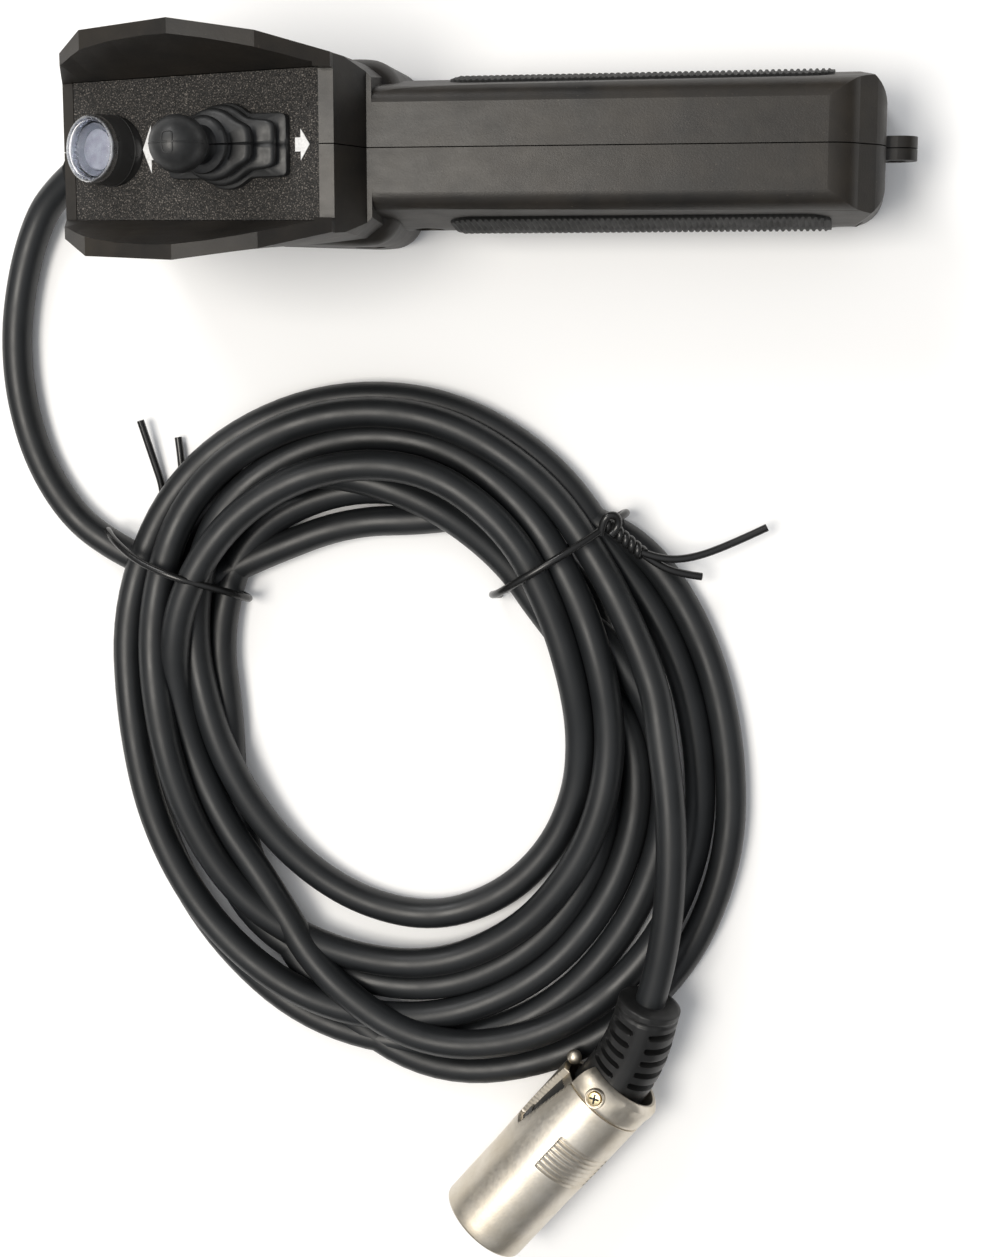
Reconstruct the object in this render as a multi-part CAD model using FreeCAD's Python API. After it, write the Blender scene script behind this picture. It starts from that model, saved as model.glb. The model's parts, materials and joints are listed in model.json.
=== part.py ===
import FreeCAD, Part
import os
from math import cos, hypot, pi, radians, sin, tan
from FreeCAD import Vector as V

# Wired handheld remote with a toggle, a torch and a coiled lead ending in a three-pole round plug.
# Millimetres. X runs along the handset, nose at -X and lanyard lug at +X. Y = 0 is the plane where the
# two housing halves meet. Z is up, and Z = 0 is the surface that everything lies on.

# ---- Driving dimensions ----
HALF_LENGTH = 76.9          # nose to centre, and centre to the lug's end
SEAM_GAP = 0.2              # width of the line between the two housing halves
WALL = 2.4                  # housing wall
PANEL_SLOPE = 11.1          # degrees, the panel rises towards the handle
PANEL_ORIGIN = V(-42.9, 0, 40.5)   # where the toggle's axis meets the panel's top face
PANEL_THICK = 1.6
PANEL_FRONT, PANEL_BACK = -32.0, 17.5      # along the slope, from the toggle's axis
PANEL_HALF_FRONT, PANEL_HALF_BACK = 12.2, 13.0
HANDLE_TOP_FRONT, HANDLE_TOP_BACK = 34.8, 32.4
BUTT_X = 71.3
LUG_RADIUS, LUG_HALF_THICK, LUG_HOLE_RADIUS, LUG_Z = 3.6, 2.1, 1.7, 15.2
CORD_D = 6.0
BARREL_RADIUS = 9.7         # the plug's gripped part
NOSE_RADIUS = 9.5           # the plug's front, which enters its socket

# Head stations along X: top height, half width at the top, half width low down
HEAD_STATIONS = [
    (-76.9, 33.0, 12.6, 12.2),
    (-72.2, 45.7, 16.0, 13.2),
    (-66.6, 50.5, 19.2, 14.1),
    (-48.8, 56.2, 20.1, 15.4),
    (-34.3, 53.3, 18.1, 15.9),
    (-21.9, 45.7, 14.9, 15.8),
    (-18.6, 36.0, 12.0, 14.6),
]
HEAD_LOW_Z = 12.0
# The inner edge of the wings' tops along X: height, half width
THUMB_HALF_FRONT = 12.0
WING_INNER_EDGE = [
    (-82.0, 45.5, 13.6), (-72.0, 45.5, 13.9), (-69.0, 48.5, 15.1),
    (-65.0, 51.0, 16.2), (-60.0, 52.6, 17.0), (-54.0, 54.5, 17.4), (-48.8, 55.6, 17.3), (-43.0, 55.0, 16.8),
    (-38.0, 54.0, 16.0), (-34.3, 53.2, 15.3), (-30.0, 50.8, 14.4), (-25.7, 48.2, 13.4),
]

# ---- The lead's route ----
# Free run from the gland to the coil, then the coil's turns, then the run along its top to the plug.
GLAND_TIP = V(-85.4, -2.2, 7.3)
GLAND_ROOT = V(-68.9, 0.37, 12.55)    # the back of the wall that holds the gland
LEAD_ROUTE = [
    GLAND_TIP, V(-91.4, -6.2, 4.9), V(-96.0, -13.2, 3.4), V(-99.2, -23.4, 3.1), V(-100.8, -34.6, 3.0),
    V(-100.0, -46.8, 3.1), V(-96.4, -59.4, 3.0), V(-89.4, -70.2, 3.1), V(-80.5, -76.4, 3.0), V(-71.0, -80.9, 3.1),
]
COIL_CENTRE = V(-14.5, -111.4, 0)
COIL_HEIGHT = 12.5
# Radius of each turn every 45 degrees clockwise from +X. The turns fan out at the right and the bottom,
# and lie close together under the two ties, at the upper left and the upper right.
TURN_RADII = [
    [57.7, 68.8, 70.2, 52.6, 42.5, 54.5, 47.8, 41.1],
    [34.4, 43.5, 54.0, 54.2, 47.5, 58.4, 49.8, 36.8],
    [44.5, 55.2, 68.0, 64.2, 60.9, 64.6, 46.3, 33.1],
    [41.2, 48.1, 60.0, 61.6, 60.7, 71.0, 65.5, 52.6],
    [53.0, 61.9, 64.5, 47.3, 50.8, 56.9, 52.7, 35.3],
    [30.2, 33.4, 38.8, 39.8, 44.7, 61.0, 58.5, 40.5],
    [36.0, 39.8, 48.6, 51.6, 52.4, 66.8, 62.0, 48.0],
]
# The lead's first pass under the coil: radii at 135, 90 and 45 degrees
LEAD_IN_RADII = [(135, 49.0), (90, 41.0), (45, 53.0)]
TAIL_ROUTE = [
    V(30.6, -98.0, 13.0), V(32.6, -109.0, 15.6), V(34.4, -121.0, 16.2), V(34.9, -133.4, 16.3),
    V(34.2, -145.6, 15.9), V(32.4, -156.4, 14.9), V(30.9, -162.0, 14.1),
]

GLAND_WAY = (GLAND_TIP - GLAND_ROOT).normalize()
GLAND_RADIUS = 4.55
CLAMP_PLACE = GLAND_ROOT - GLAND_WAY * 6.0

# ---- Plug ----
PLUG_REAR = V(21.5, -182.9, BARREL_RADIUS)
PLUG_FRONT = V(-3.0, -212.3, BARREL_RADIUS)

os.makedirs("parts", exist_ok=True)
X_AXIS, Y_AXIS, Z_AXIS = V(1, 0, 0), V(0, 1, 0), V(0, 0, 1)


# ---- Helpers ----
def save(name, shape):
    shape = shape.removeSplitter()
    shape.exportStep(f"parts/{name}.step")
    print(f"{name}: {len(shape.Solids)} solid(s), {shape.Volume:.0f} mm3, valid {shape.isValid()}")


def box(x0, x1, y0, y1, z0, z1):
    return Part.makeBox(x1 - x0, y1 - y0, z1 - z0, V(x0, y0, z0))


def rod(radius, start, end):
    return Part.makeCylinder(radius, (end - start).Length, start, end - start)


def cone(r0, r1, start, end):
    return Part.makeCone(r0, r1, (end - start).Length, start, end - start)


def side_prism(points, half_width):
    """A side outline (x, z), as thick as 2 * half_width across Y."""
    wire = Part.makePolygon([V(x, -half_width, z) for x, z in points + points[:1]])
    return Part.Face(wire).extrude(V(0, 2 * half_width, 0))


def edges_wire(*edges):
    return Part.Wire([edge.toShape() if hasattr(edge, "toShape") else edge for edge in edges])


def line(a, b):
    return Part.LineSegment(a, b)


def arc(a, through, b):
    return Part.Arc(a, through, b)


def on_panel(shape):
    """Moves a shape drawn about the toggle's axis (Z out of the panel, X up its slope) into place."""
    tilt = FreeCAD.Rotation(Y_AXIS, -PANEL_SLOPE)
    shape.Placement = FreeCAD.Placement(PANEL_ORIGIN, tilt).multiply(shape.Placement)
    return shape


def panel_point(u, v, w):
    return FreeCAD.Placement(PANEL_ORIGIN, FreeCAD.Rotation(Y_AXIS, -PANEL_SLOPE)).multVec(V(u, v, w))


def rounded_plate(half_x, half_y, corner, z0, z1):
    plate = box(-half_x, half_x, -half_y, half_y, z0, z1)
    upright = [e for e in plate.Edges if abs(e.Vertexes[0].Z - e.Vertexes[1].Z) > 0.5 * (z1 - z0)]
    return plate.makeFillet(corner, upright)


def oval(half_x, half_y, z0, z1):
    ellipse = Part.Ellipse(V(0, 0, z0), half_x, half_y)
    return Part.Face(Part.Wire(ellipse.toShape())).extrude(V(0, 0, z1 - z0))


def bent_tube(points, radius):
    """A tube of straight runs joined by tangent arcs, as large as the runs beside each turn allow."""
    edges, here, smallest = [], points[0], None
    for before, corner, after in zip(points, points[1:], points[2:]):
        to_corner = (corner - before).normalize()
        from_corner = (after - corner).normalize()
        turn = to_corner.getAngle(from_corner)
        setback = 0.45 * min((corner - before).Length, (after - corner).Length)
        bend = setback / tan(turn / 2)
        smallest = bend if smallest is None else min(smallest, bend)
        start, end = corner - to_corner * setback, corner + from_corner * setback
        centre_way = (from_corner - to_corner).normalize()
        middle = corner + centre_way * (hypot(bend, setback) - bend)
        edges += [line(here, start), arc(start, middle, end)]
        here = end
    edges.append(line(here, points[-1]))
    path = edges_wire(*edges)
    section = Part.Wire(Part.Circle(points[0], points[1] - points[0], radius).toShape())
    tube = path.makePipeShell([section], True, False)
    print(f"  bend radius from {smallest:.1f} mm, length {path.Length:.1f} mm, "
          f"volume against section x length {tube.Volume / (pi * radius**2 * path.Length):.4f}")
    return tube


def thin_wire(points, radius):
    """A conductor of straight pieces with round joints."""
    pieces = [rod(radius, a, b) for a, b in zip(points, points[1:])]
    joints = [Part.makeSphere(radius, p) for p in points[1:-1]]
    return pieces[0].multiFuse(pieces[1:] + joints)


# ---- Housing ----
def upright_edges(shape, x):
    return [e for e in shape.Edges if len(e.Vertexes) == 2 and all(abs(v.X - x) < 0.01 for v in e.Vertexes)
            and abs(e.Vertexes[0].Z - e.Vertexes[1].Z) > 1]


def head_lower():
    """The belly of the head: rounded below and at its shoulders, undercut at the nose."""
    front, bulge, back, top = -HALF_LENGTH, -21.0, -15.8, 27.0
    corners = [V(front, 12.8, 0), V(-50.0, 15.9, 0), V(bulge, 16.9, 0), V(back, 15.4, 0)]
    corners += [V(p.x, -p.y, 0) for p in reversed(corners)]
    belly = Part.Face(Part.makePolygon(corners + corners[:1])).extrude(V(0, 0, top))
    for x, radius in ((front, 2.6), (bulge, 25.0), (back, 6.0)):
        belly = belly.makeFillet(radius, upright_edges(belly, x))
    rims = [e for e in belly.Edges if all(abs(v.Z) < 0.01 for v in e.Vertexes)
            or all(abs(v.Z - top) < 0.01 for v in e.Vertexes)]
    belly = belly.makeFillet(4.5, rims)
    return belly.cut(side_prism([(-90, 31), (front, 31), (-70.5, -1), (-90, -1)], 30))


def head_upper():
    """The flared block with the guard wings, one ruled facet between each pair of stations."""
    sections = [
        Part.makePolygon([V(x, -low, HEAD_LOW_Z), V(x, low, HEAD_LOW_Z), V(x, wide, top),
                          V(x, -wide, top), V(x, -low, HEAD_LOW_Z)])
        for x, top, wide, low in HEAD_STATIONS
    ]
    block = Part.makeLoft(sections, True, True)
    nose_cut = side_prism([(-90, 31), (-HALF_LENGTH, 31), (-72.9, HEAD_LOW_Z - 1), (-90, 0)], 30)
    return block.cut(nose_cut)


def thumb_space():
    """The room over the panel between the wings: straight below, curved along the wings' tops."""
    rise = tan(radians(PANEL_SLOPE))
    roof = 62.0
    sections = []
    for x, top, half_top in WING_INNER_EDGE:
        low_z = PANEL_ORIGIN.z + (x - PANEL_ORIGIN.x) * rise
        half = THUMB_HALF_FRONT + (PANEL_HALF_BACK - THUMB_HALF_FRONT) * (x + 82.0) / 56.3
        wide = half + (half_top - half) * (roof - low_z) / (top - low_z)
        sections.append(Part.makePolygon([V(x, half, low_z), V(x, wide, roof), V(x, -wide, roof),
                                          V(x, -half, low_z), V(x, half, low_z)]))
    return Part.makeLoft(sections, True, True)


def handle_section(x, grow=0.0):
    """The grip's cross-section: flat top, sides leaning out to a rounded belly."""
    top = HANDLE_TOP_FRONT
    p = [V(x, 7.4, top), V(x, 9.9, top - 0.9), V(x, 10.9, top - 3.0), V(x, 13.2, 19.0), V(x, 13.6, 14.0),
         V(x, 12.9, 8.0), V(x, 11.2, 2.4), V(x, 7.5, 0)]
    m = [V(q.x, -q.y, q.z) for q in p]
    wire = edges_wire(
        line(m[0], p[0]), arc(p[0], p[1], p[2]), line(p[2], p[3]), arc(p[3], p[4], p[5]),
        arc(p[5], p[6], p[7]), line(p[7], m[7]), arc(m[7], m[6], m[5]), arc(m[5], m[4], m[3]),
        line(m[3], m[2]), arc(m[2], m[1], m[0]),
    )
    return wire.makeOffset2D(grow) if grow else wire


def handle_top_corners():
    """A long prism under the handle's sloping top, whose rounded corners follow the slope to the butt."""
    fall = (HANDLE_TOP_BACK - HANDLE_TOP_FRONT) / 80.4
    x = -30.0
    top = HANDLE_TOP_FRONT - 11.0 * fall
    p = [V(x, 7.2, top), V(x, 10.0, top - 0.9), V(x, 11.3, top - 3.2), V(x, 11.9, top - 4.9),
         V(x, 16.0, top - 12.0), V(x, 16.0, top - 50.0)]
    m = [V(q.x, -q.y, q.z) for q in p]
    section = edges_wire(
        line(m[0], p[0]), arc(p[0], p[1], p[2]), line(p[2], p[3]), line(p[3], p[4]), line(p[4], p[5]),
        line(p[5], m[5]), line(m[5], m[4]), line(m[4], m[3]), line(m[3], m[2]), arc(m[2], m[1], m[0]),
    )
    return Part.Face(section).extrude(V(112.0, 0, 112.0 * fall))


def handle():
    grip = Part.Face(handle_section(-24.0)).extrude(V(BUTT_X + 24.0, 0, 0))
    y = -20.0
    side = edges_wire(
        line(V(-30, y, HANDLE_TOP_FRONT), V(-19, y, HANDLE_TOP_FRONT)),
        line(V(-19, y, HANDLE_TOP_FRONT), V(61.4, y, HANDLE_TOP_BACK)),
        arc(V(61.4, y, HANDLE_TOP_BACK), V(64.4, y, 31.5), V(66.6, y, 29.4)),
        line(V(66.6, y, 29.4), V(69.6, y, 26.2)),
        arc(V(69.6, y, 26.2), V(70.9, y, 24.0), V(BUTT_X, y, 21.6)),
        line(V(BUTT_X, y, 21.6), V(BUTT_X, y, 5.0)),
        arc(V(BUTT_X, y, 5.0), V(69.9, y, 1.4), V(66.3, y, 0)),
        line(V(66.3, y, 0), V(62.0, y, 0)),
        arc(V(62.0, y, 0), V(28.0, y, 4.2), V(-8.0, y, 0)),
        line(V(-8.0, y, 0), V(-30, y, 0)),
        line(V(-30, y, 0), V(-30, y, HANDLE_TOP_FRONT)),
    )
    grip = grip.common(Part.Face(side).extrude(V(0, 40, 0)))
    grip = grip.common(handle_top_corners())
    plan = edges_wire(
        line(V(-30, 15, -1), V(64.0, 15, -1)), line(V(64.0, 15, -1), V(67.3, 12.8, -1)),
        arc(V(67.3, 12.8, -1), V(70.4, 10.2, -1), V(BUTT_X, 6.6, -1)),
        line(V(BUTT_X, 6.6, -1), V(BUTT_X, -6.6, -1)),
        arc(V(BUTT_X, -6.6, -1), V(70.4, -10.2, -1), V(67.3, -12.8, -1)),
        line(V(67.3, -12.8, -1), V(64.0, -15, -1)), line(V(64.0, -15, -1), V(-30, -15, -1)),
        line(V(-30, -15, -1), V(-30, 15, -1)),
    )
    return grip.common(Part.Face(plan).extrude(V(0, 0, 40)))


def lug():
    centre_x = HALF_LENGTH - LUG_RADIUS
    start, end = V(centre_x, -LUG_HALF_THICK, LUG_Z), V(centre_x, LUG_HALF_THICK, LUG_Z)
    eye = rod(LUG_RADIUS, start, end)
    neck = box(BUTT_X - 1.5, centre_x, -LUG_HALF_THICK, LUG_HALF_THICK,
               LUG_Z - LUG_RADIUS, LUG_Z + LUG_RADIUS)
    hole = rod(LUG_HOLE_RADIUS, start - Y_AXIS, end + Y_AXIS)
    return eye.fuse(neck).cut(hole)


def panel_outline(grow, w0, w1):
    """The panel's tapered outline as a block, drawn about the toggle's axis."""
    x0, x1 = PANEL_FRONT - grow, PANEL_BACK + grow
    y0, y1 = PANEL_HALF_FRONT + grow, PANEL_HALF_BACK + grow
    wire = Part.makePolygon([V(x0, -y0, w0), V(x1, -y1, w0), V(x1, y1, w0), V(x0, y0, w0), V(x0, -y0, w0)])
    return Part.Face(wire).extrude(V(0, 0, w1 - w0))


def inner_room():
    """The hollow inside both halves."""
    head_side = side_prism([(-73.0, 29.0), (-68.8, 6.0), (-65.5, WALL + 0.6), (-18.4, WALL + 0.6),
                            (-18.4, 20.0), (-21.6, 25.0), (-22.6, 34.0), (-24.6, 40.2)], 20)
    head_plan = Part.makePolygon([V(-74, 9.6, 0), V(-66, 11.0, 0), V(-50, 12.6, 0), V(-18.4, 13.2, 0),
                                  V(-18.4, -13.2, 0), V(-50, -12.6, 0), V(-66, -11.0, 0), V(-74, -9.6, 0),
                                  V(-74, 9.6, 0)])
    head = head_side.common(Part.Face(head_plan).extrude(V(0, 0, 50)))
    grip = Part.makePolygon([V(-19, 6.6, 29.8), V(-19, 10.9, 18), V(-19, 10.2, 9), V(-19, 7.5, 6.8),
                             V(-19, -7.5, 6.8), V(-19, -10.2, 9), V(-19, -10.9, 18), V(-19, -6.6, 29.8),
                             V(-19, 6.6, 29.8)])
    grip = Part.Face(grip).extrude(V(80, 0, 0))
    window = on_panel(panel_outline(-2.2, -4.6, -PANEL_THICK + 0.01))
    return head.fuse(grip).fuse(window)


SCREW_PLACES = [(-68.6, 22.6), (-45.0, 6.6), (-24.0, 14.0), (-12.2, 15.0), (64.8, 13.0)]
SCREW_SHANK, SCREW_HEAD, BOSS_RADIUS = 1.25, 2.6, 3.4
HEAD_SEAT = -9.6        # the screw heads' undersides lie at this Y


def screw_cutter(x, z):
    shaft = rod(SCREW_SHANK, V(x, -20, z), V(x, 7.0, z))
    pocket = rod(SCREW_HEAD + 0.3, V(x, -20, z), V(x, HEAD_SEAT, z))
    return shaft.fuse(pocket)


def housing():
    body = head_lower().fuse(head_upper())
    rear_slope = side_prism([(-23.0, 44.4), (-23.0, 62), (-5, 62), (-5, HANDLE_TOP_FRONT),
                             (-19.5, HANDLE_TOP_FRONT)], 30)
    strip = box(-27, -17, -12.7, 12.7, 44.4, 62)
    body = body.cut(thumb_space()).cut(strip).cut(rear_slope)
    body = body.fuse(handle()).fuse(lug())
    body = body.cut(on_panel(panel_outline(0.15, -PANEL_THICK, 0.6)))
    room = inner_room()
    bosses = [rod(BOSS_RADIUS, V(x, -13.5, z), V(x, 13.5, z)) for x, z in SCREW_PLACES]
    for boss in bosses:
        room = room.cut(boss)
    body = body.cut(room)
    pillars = [rod(1.6, V(CLAMP_PLACE.x, y, 2.0), V(CLAMP_PLACE.x, y, CLAMP_PLACE.z + 0.2)) for y in (-7.0, 7.0)]
    body = body.multiFuse(pillars)
    body = body.cut(rod(GLAND_RADIUS + 0.05, GLAND_ROOT - GLAND_WAY, GLAND_TIP))
    body = body.cut(rod(TORCH_RADIUS + 0.05, torch_at(-7.0), torch_at(4.0)))
    for x, z in SCREW_PLACES:
        body = body.cut(screw_cutter(x, z))
    return body


def split(body):
    half_gap = SEAM_GAP / 2
    left = body.common(box(-90, 90, half_gap, 40, -5, 70))
    right = body.common(box(-90, 90, -40, -half_gap, -5, 70))
    return left, right


def largest(shape):
    return max(shape.Solids, key=lambda s: s.Volume)


def grip_pads():
    """A rubber pad on each side of the handle, with round ends, standing proud of the shell."""
    thick = 0.9
    start_x, end_x, z0, z1 = -6.8, 62.2, 8.6, 27.4
    skin = Part.Face(handle_section(start_x, thick)).extrude(V(end_x - start_x, 0, 0)).cut(handle())
    r = 5.0
    wire = edges_wire(
        line(V(start_x + r, -20, z0), V(end_x - r, -20, z0)),
        arc(V(end_x - r, -20, z0), V(end_x - r + r * sin(pi / 4), -20, z0 + r - r * cos(pi / 4)),
            V(end_x, -20, z0 + r)),
        line(V(end_x, -20, z0 + r), V(end_x, -20, z1 - r)),
        arc(V(end_x, -20, z1 - r), V(end_x - r + r * sin(pi / 4), -20, z1 - r + r * cos(pi / 4)),
            V(end_x - r, -20, z1)),
        line(V(end_x - r, -20, z1), V(start_x + r, -20, z1)),
        arc(V(start_x + r, -20, z1), V(start_x + r - r * sin(pi / 4), -20, z1 - r + r * cos(pi / 4)),
            V(start_x, -20, z1 - r)),
        line(V(start_x, -20, z1 - r), V(start_x, -20, z0 + r)),
        arc(V(start_x, -20, z0 + r), V(start_x + r - r * sin(pi / 4), -20, z0 + r - r * cos(pi / 4)),
            V(start_x + r, -20, z0)),
    )
    skin = skin.common(Part.Face(wire).extrude(V(0, 40, 0)))
    left = largest(skin.common(box(-20, 70, 5, 20, 0, 40)))
    right = largest(skin.common(box(-20, 70, -20, -5, 0, 40)))
    return left, right


def housing_screws():
    screws = []
    for x, z in SCREW_PLACES:
        head = rod(SCREW_HEAD, V(x, HEAD_SEAT - 1.8, z), V(x, HEAD_SEAT, z))
        cross = box(x - 1.6, x + 1.6, HEAD_SEAT - 2, HEAD_SEAT - 1, z - 0.35, z + 0.35).fuse(
            box(x - 0.35, x + 0.35, HEAD_SEAT - 2, HEAD_SEAT - 1, z - 1.6, z + 1.6))
        shank = rod(SCREW_SHANK, V(x, HEAD_SEAT, z), V(x, 6.5, z))
        screws.append(head.fuse(shank).cut(cross))
    return Part.makeCompound(screws)


# ---- Panel and its marks ----
BUSHING_RADIUS = 5.9
TORCH_AXIS = V(-0.42, 0, 0.9075)
TORCH_FOOT = V(-66.7, 0, 35.83)        # where the torch's axis meets the panel
TORCH_RADIUS = 6.3
RING_RADIUS = 5.95
TORCH_LENGTH = 5.4                     # from the foot to the ring's rim


def torch_at(distance):
    return TORCH_FOOT + TORCH_AXIS * distance


def control_panel():
    plate = on_panel(panel_outline(0, -PANEL_THICK, 0))
    bushing_hole = on_panel(rod(BUSHING_RADIUS + 0.05, V(0, 0, -3), V(0, 0, 2)))
    torch_hole = rod(TORCH_RADIUS + 0.05, torch_at(-6), torch_at(6))
    return plate.cut(bushing_hole).cut(torch_hole)


def arrow(centre_u, way, length, width):
    """A flat arrow across the panel's width, pointing up (+1) or down (-1) the slope."""
    head, shaft, thick = 0.62 * length, 0.22 * width, 0.15
    u = [centre_u - way * length / 2, centre_u - way * (length / 2 - length + head), centre_u + way * length / 2]
    points = [V(u[0], -shaft, 0), V(u[1], -shaft, 0), V(u[1], -width / 2, 0), V(u[2], 0, 0),
              V(u[1], width / 2, 0), V(u[1], shaft, 0), V(u[0], shaft, 0), V(u[0], -shaft, 0)]
    return on_panel(Part.Face(Part.makePolygon(points)).extrude(V(0, 0, thick)))


# ---- Toggle switch and its boot ----
PIVOT_W = -2.0             # the lever's pivot, below the panel's top face
PIVOT_PIN = 0.8            # radius of the pin it turns on
BALL_W, BALL_RADIUS = 18.1, 4.9
FLANGE_HALF_X, FLANGE_HALF_Y = 11.8, 5.5


def boot_flange():
    """The boot's base: a rectangular plate with a round bulge that seats over the bushing."""
    plate = rounded_plate(FLANGE_HALF_X, FLANGE_HALF_Y, 1.5, 0, 1.4)
    bore = rod(BUSHING_RADIUS + 0.5, V(0, 0, -1), V(0, 0, 3))
    return on_panel(plate.fuse(oval(9.2, 7.5, 0, 1.8)).cut(bore))


def boot_bellows():
    pleats = [(9.6, 7.2, 1.8, 4.0), (6.5, 6.1, 4.0, 5.0), (7.4, 6.6, 5.0, 7.3), (4.9, 4.7, 7.3, 8.2),
              (5.3, 5.1, 8.2, 10.5)]
    hollow = [(6.5, 6.4, 1.0, 3.5), (4.3, 4.1, 3.4, 9.4), (3.6, 3.5, 9.3, 11)]
    solid = oval(*pleats[0]).multiFuse([oval(*p) for p in pleats[1:]])
    for h in hollow:
        solid = solid.cut(oval(*h))
    return on_panel(solid)


def boot_cap():
    ball = Part.makeSphere(BALL_RADIUS, V(0, 0, BALL_W))
    neck = rod(3.2, V(0, 0, 10.5), V(0, 0, BALL_W))
    bore = rod(2.2, V(0, 0, 9), V(0, 0, BALL_W + 2.2))
    return on_panel(ball.fuse(neck).cut(bore))


def toggle_lever():
    stem = rod(2.2, V(0, 0, 1.5), V(0, 0, BALL_W + 2.2)).fuse(
        cone(2.6, 2.2, V(0, 0, PIVOT_W + 2.0), V(0, 0, 4.0)))
    ball = Part.makeSphere(3.6, V(0, 0, PIVOT_W))
    tail = rod(1.8, V(0, 0, PIVOT_W), V(0, 0, PIVOT_W - 7.0))
    pin = rod(PIVOT_PIN, V(0, -5.4, PIVOT_W), V(0, 5.4, PIVOT_W))
    bore = rod(1.0, V(0, 0, PIVOT_W - 8.0), V(0, 0, PIVOT_W - 1.5))
    return on_panel(stem.multiFuse([ball, tail, pin]).cut(bore))


def toggle_bushing():
    tube = rod(BUSHING_RADIUS, V(0, 0, -7.5), V(0, 0, 3.4))
    socket = Part.makeSphere(3.65, V(0, 0, PIVOT_W))
    mouth = cone(2.9, 4.6, V(0, 0, PIVOT_W + 1.2), V(0, 0, 3.5))
    throat = rod(3.2, V(0, 0, -8), V(0, 0, PIVOT_W - 1.5))
    pin_hole = rod(PIVOT_PIN + 0.05, V(0, -7, PIVOT_W), V(0, 7, PIVOT_W))
    return on_panel(tube.cut(socket).cut(mouth).cut(throat).cut(pin_hole))


def hexagon(flat, z0, z1):
    radius = flat / 2 / cos(pi / 6)
    corners = [V(radius * cos(k * pi / 3), radius * sin(k * pi / 3), z0) for k in range(7)]
    return Part.Face(Part.makePolygon(corners)).extrude(V(0, 0, z1 - z0))


def toggle_nut():
    """Thin nut under the panel that holds the switch against it."""
    return on_panel(hexagon(15.0, -3.6, -PANEL_THICK).cut(rod(BUSHING_RADIUS, V(0, 0, -5), V(0, 0, 0))))


SWITCH_TOP, SWITCH_BOTTOM = -7.5, -24.0
TAB_REACH = 2.6            # how far the terminals stand out of the switch


def toggle_washer():
    ring = rod(7.4, V(0, 0, -4.3), V(0, 0, -3.6))
    return on_panel(ring.cut(rod(BUSHING_RADIUS, V(0, 0, -5), V(0, 0, -3))))


def switch_body():
    case = rounded_plate(9.0, 6.5, 1.2, SWITCH_BOTTOM, SWITCH_TOP)
    chamber = box(-7.2, 7.2, -4.8, 4.8, SWITCH_BOTTOM + 4.0, SWITCH_TOP - 1.2)
    throat = rod(3.8, V(0, 0, SWITCH_TOP - 2), V(0, 0, SWITCH_TOP + 1))
    slots = [box(u - 1.0, u + 1.0, -2.6, 2.6, SWITCH_BOTTOM - 1, SWITCH_BOTTOM + 5) for u in (-6.0, 0.0, 6.0)]
    case = case.cut(chamber).cut(throat)
    for slot in slots:
        case = case.cut(slot)
    return on_panel(case)


def switch_terminals():
    tabs = []
    for u in (-6.0, 0.0, 6.0):
        top = SWITCH_BOTTOM + (4.6 if u else 5.2)
        tab = box(u - 0.9, u + 0.9, -2.5, 2.5, SWITCH_BOTTOM - TAB_REACH, top)
        tabs.append(on_panel(tab.cut(rod(0.7, V(u, -4, SWITCH_BOTTOM - 1.4), V(u, 4, SWITCH_BOTTOM - 1.4)))))
    return Part.makeCompound(tabs)


ROCKER_W = SWITCH_BOTTOM + 6.6         # the rocker's pivot
PLUNGER_TIP = -13.6


def lever_spring():
    """Spring inside the lever's tail, drawn as its outer tube."""
    return on_panel(rod(0.95, V(0, 0, PIVOT_W - 5.6), V(0, 0, PIVOT_W - 1.5)).cut(
        rod(0.6, V(0, 0, PIVOT_W - 6), V(0, 0, PIVOT_W - 1.8))))


def lever_plunger():
    pin = rod(0.95, V(0, 0, PLUNGER_TIP + 0.95), V(0, 0, PIVOT_W - 5.6))
    return on_panel(pin.fuse(Part.makeSphere(0.95, V(0, 0, PLUNGER_TIP + 0.95))))


def contact_rocker():
    top = PLUNGER_TIP - 0.35
    blade = box(-5.6, 5.6, -2.2, 2.2, top - 1.4, top)
    web = box(-1.2, 1.2, -2.2, 2.2, ROCKER_W - 1.0, top - 1.0)
    ears = rod(1.2, V(0, -2.2, ROCKER_W), V(0, 2.2, ROCKER_W))
    return on_panel(blade.fuse(web).fuse(ears).cut(rod(0.65, V(0, -3, ROCKER_W), V(0, 3, ROCKER_W))))


def rocker_pin():
    return on_panel(rod(0.6, V(0, -5.6, ROCKER_W), V(0, 5.6, ROCKER_W)))


# ---- Torch ----
def torch_body():
    barrel = rod(TORCH_RADIUS, torch_at(-6.0), torch_at(TORCH_LENGTH - 1.0))
    bore = rod(4.9, torch_at(-4.0), torch_at(TORCH_LENGTH))
    wires = rod(1.6, torch_at(-7), torch_at(-3))
    return barrel.cut(bore).cut(wires)


def torch_ring():
    ring = rod(RING_RADIUS, torch_at(TORCH_LENGTH - 1.0), torch_at(TORCH_LENGTH + 0.4))
    return ring.cut(rod(5.2, torch_at(TORCH_LENGTH - 2), torch_at(TORCH_LENGTH + 1)))


def torch_lens():
    radius, centre = 12.0, torch_at(TORCH_LENGTH + 1.3 - 12.0)
    dome = Part.makeSphere(radius, centre).common(rod(5.2, torch_at(TORCH_LENGTH - 1.0), torch_at(TORCH_LENGTH + 6)))
    return dome


def torch_reflector():
    cup = rod(4.85, torch_at(-1.6), torch_at(TORCH_LENGTH - 1.0))
    bowl = cone(1.6, 4.6, torch_at(-0.6), torch_at(TORCH_LENGTH - 0.99))
    hole = rod(1.6, torch_at(-2), torch_at(0))
    return cup.cut(bowl).cut(hole)


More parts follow.
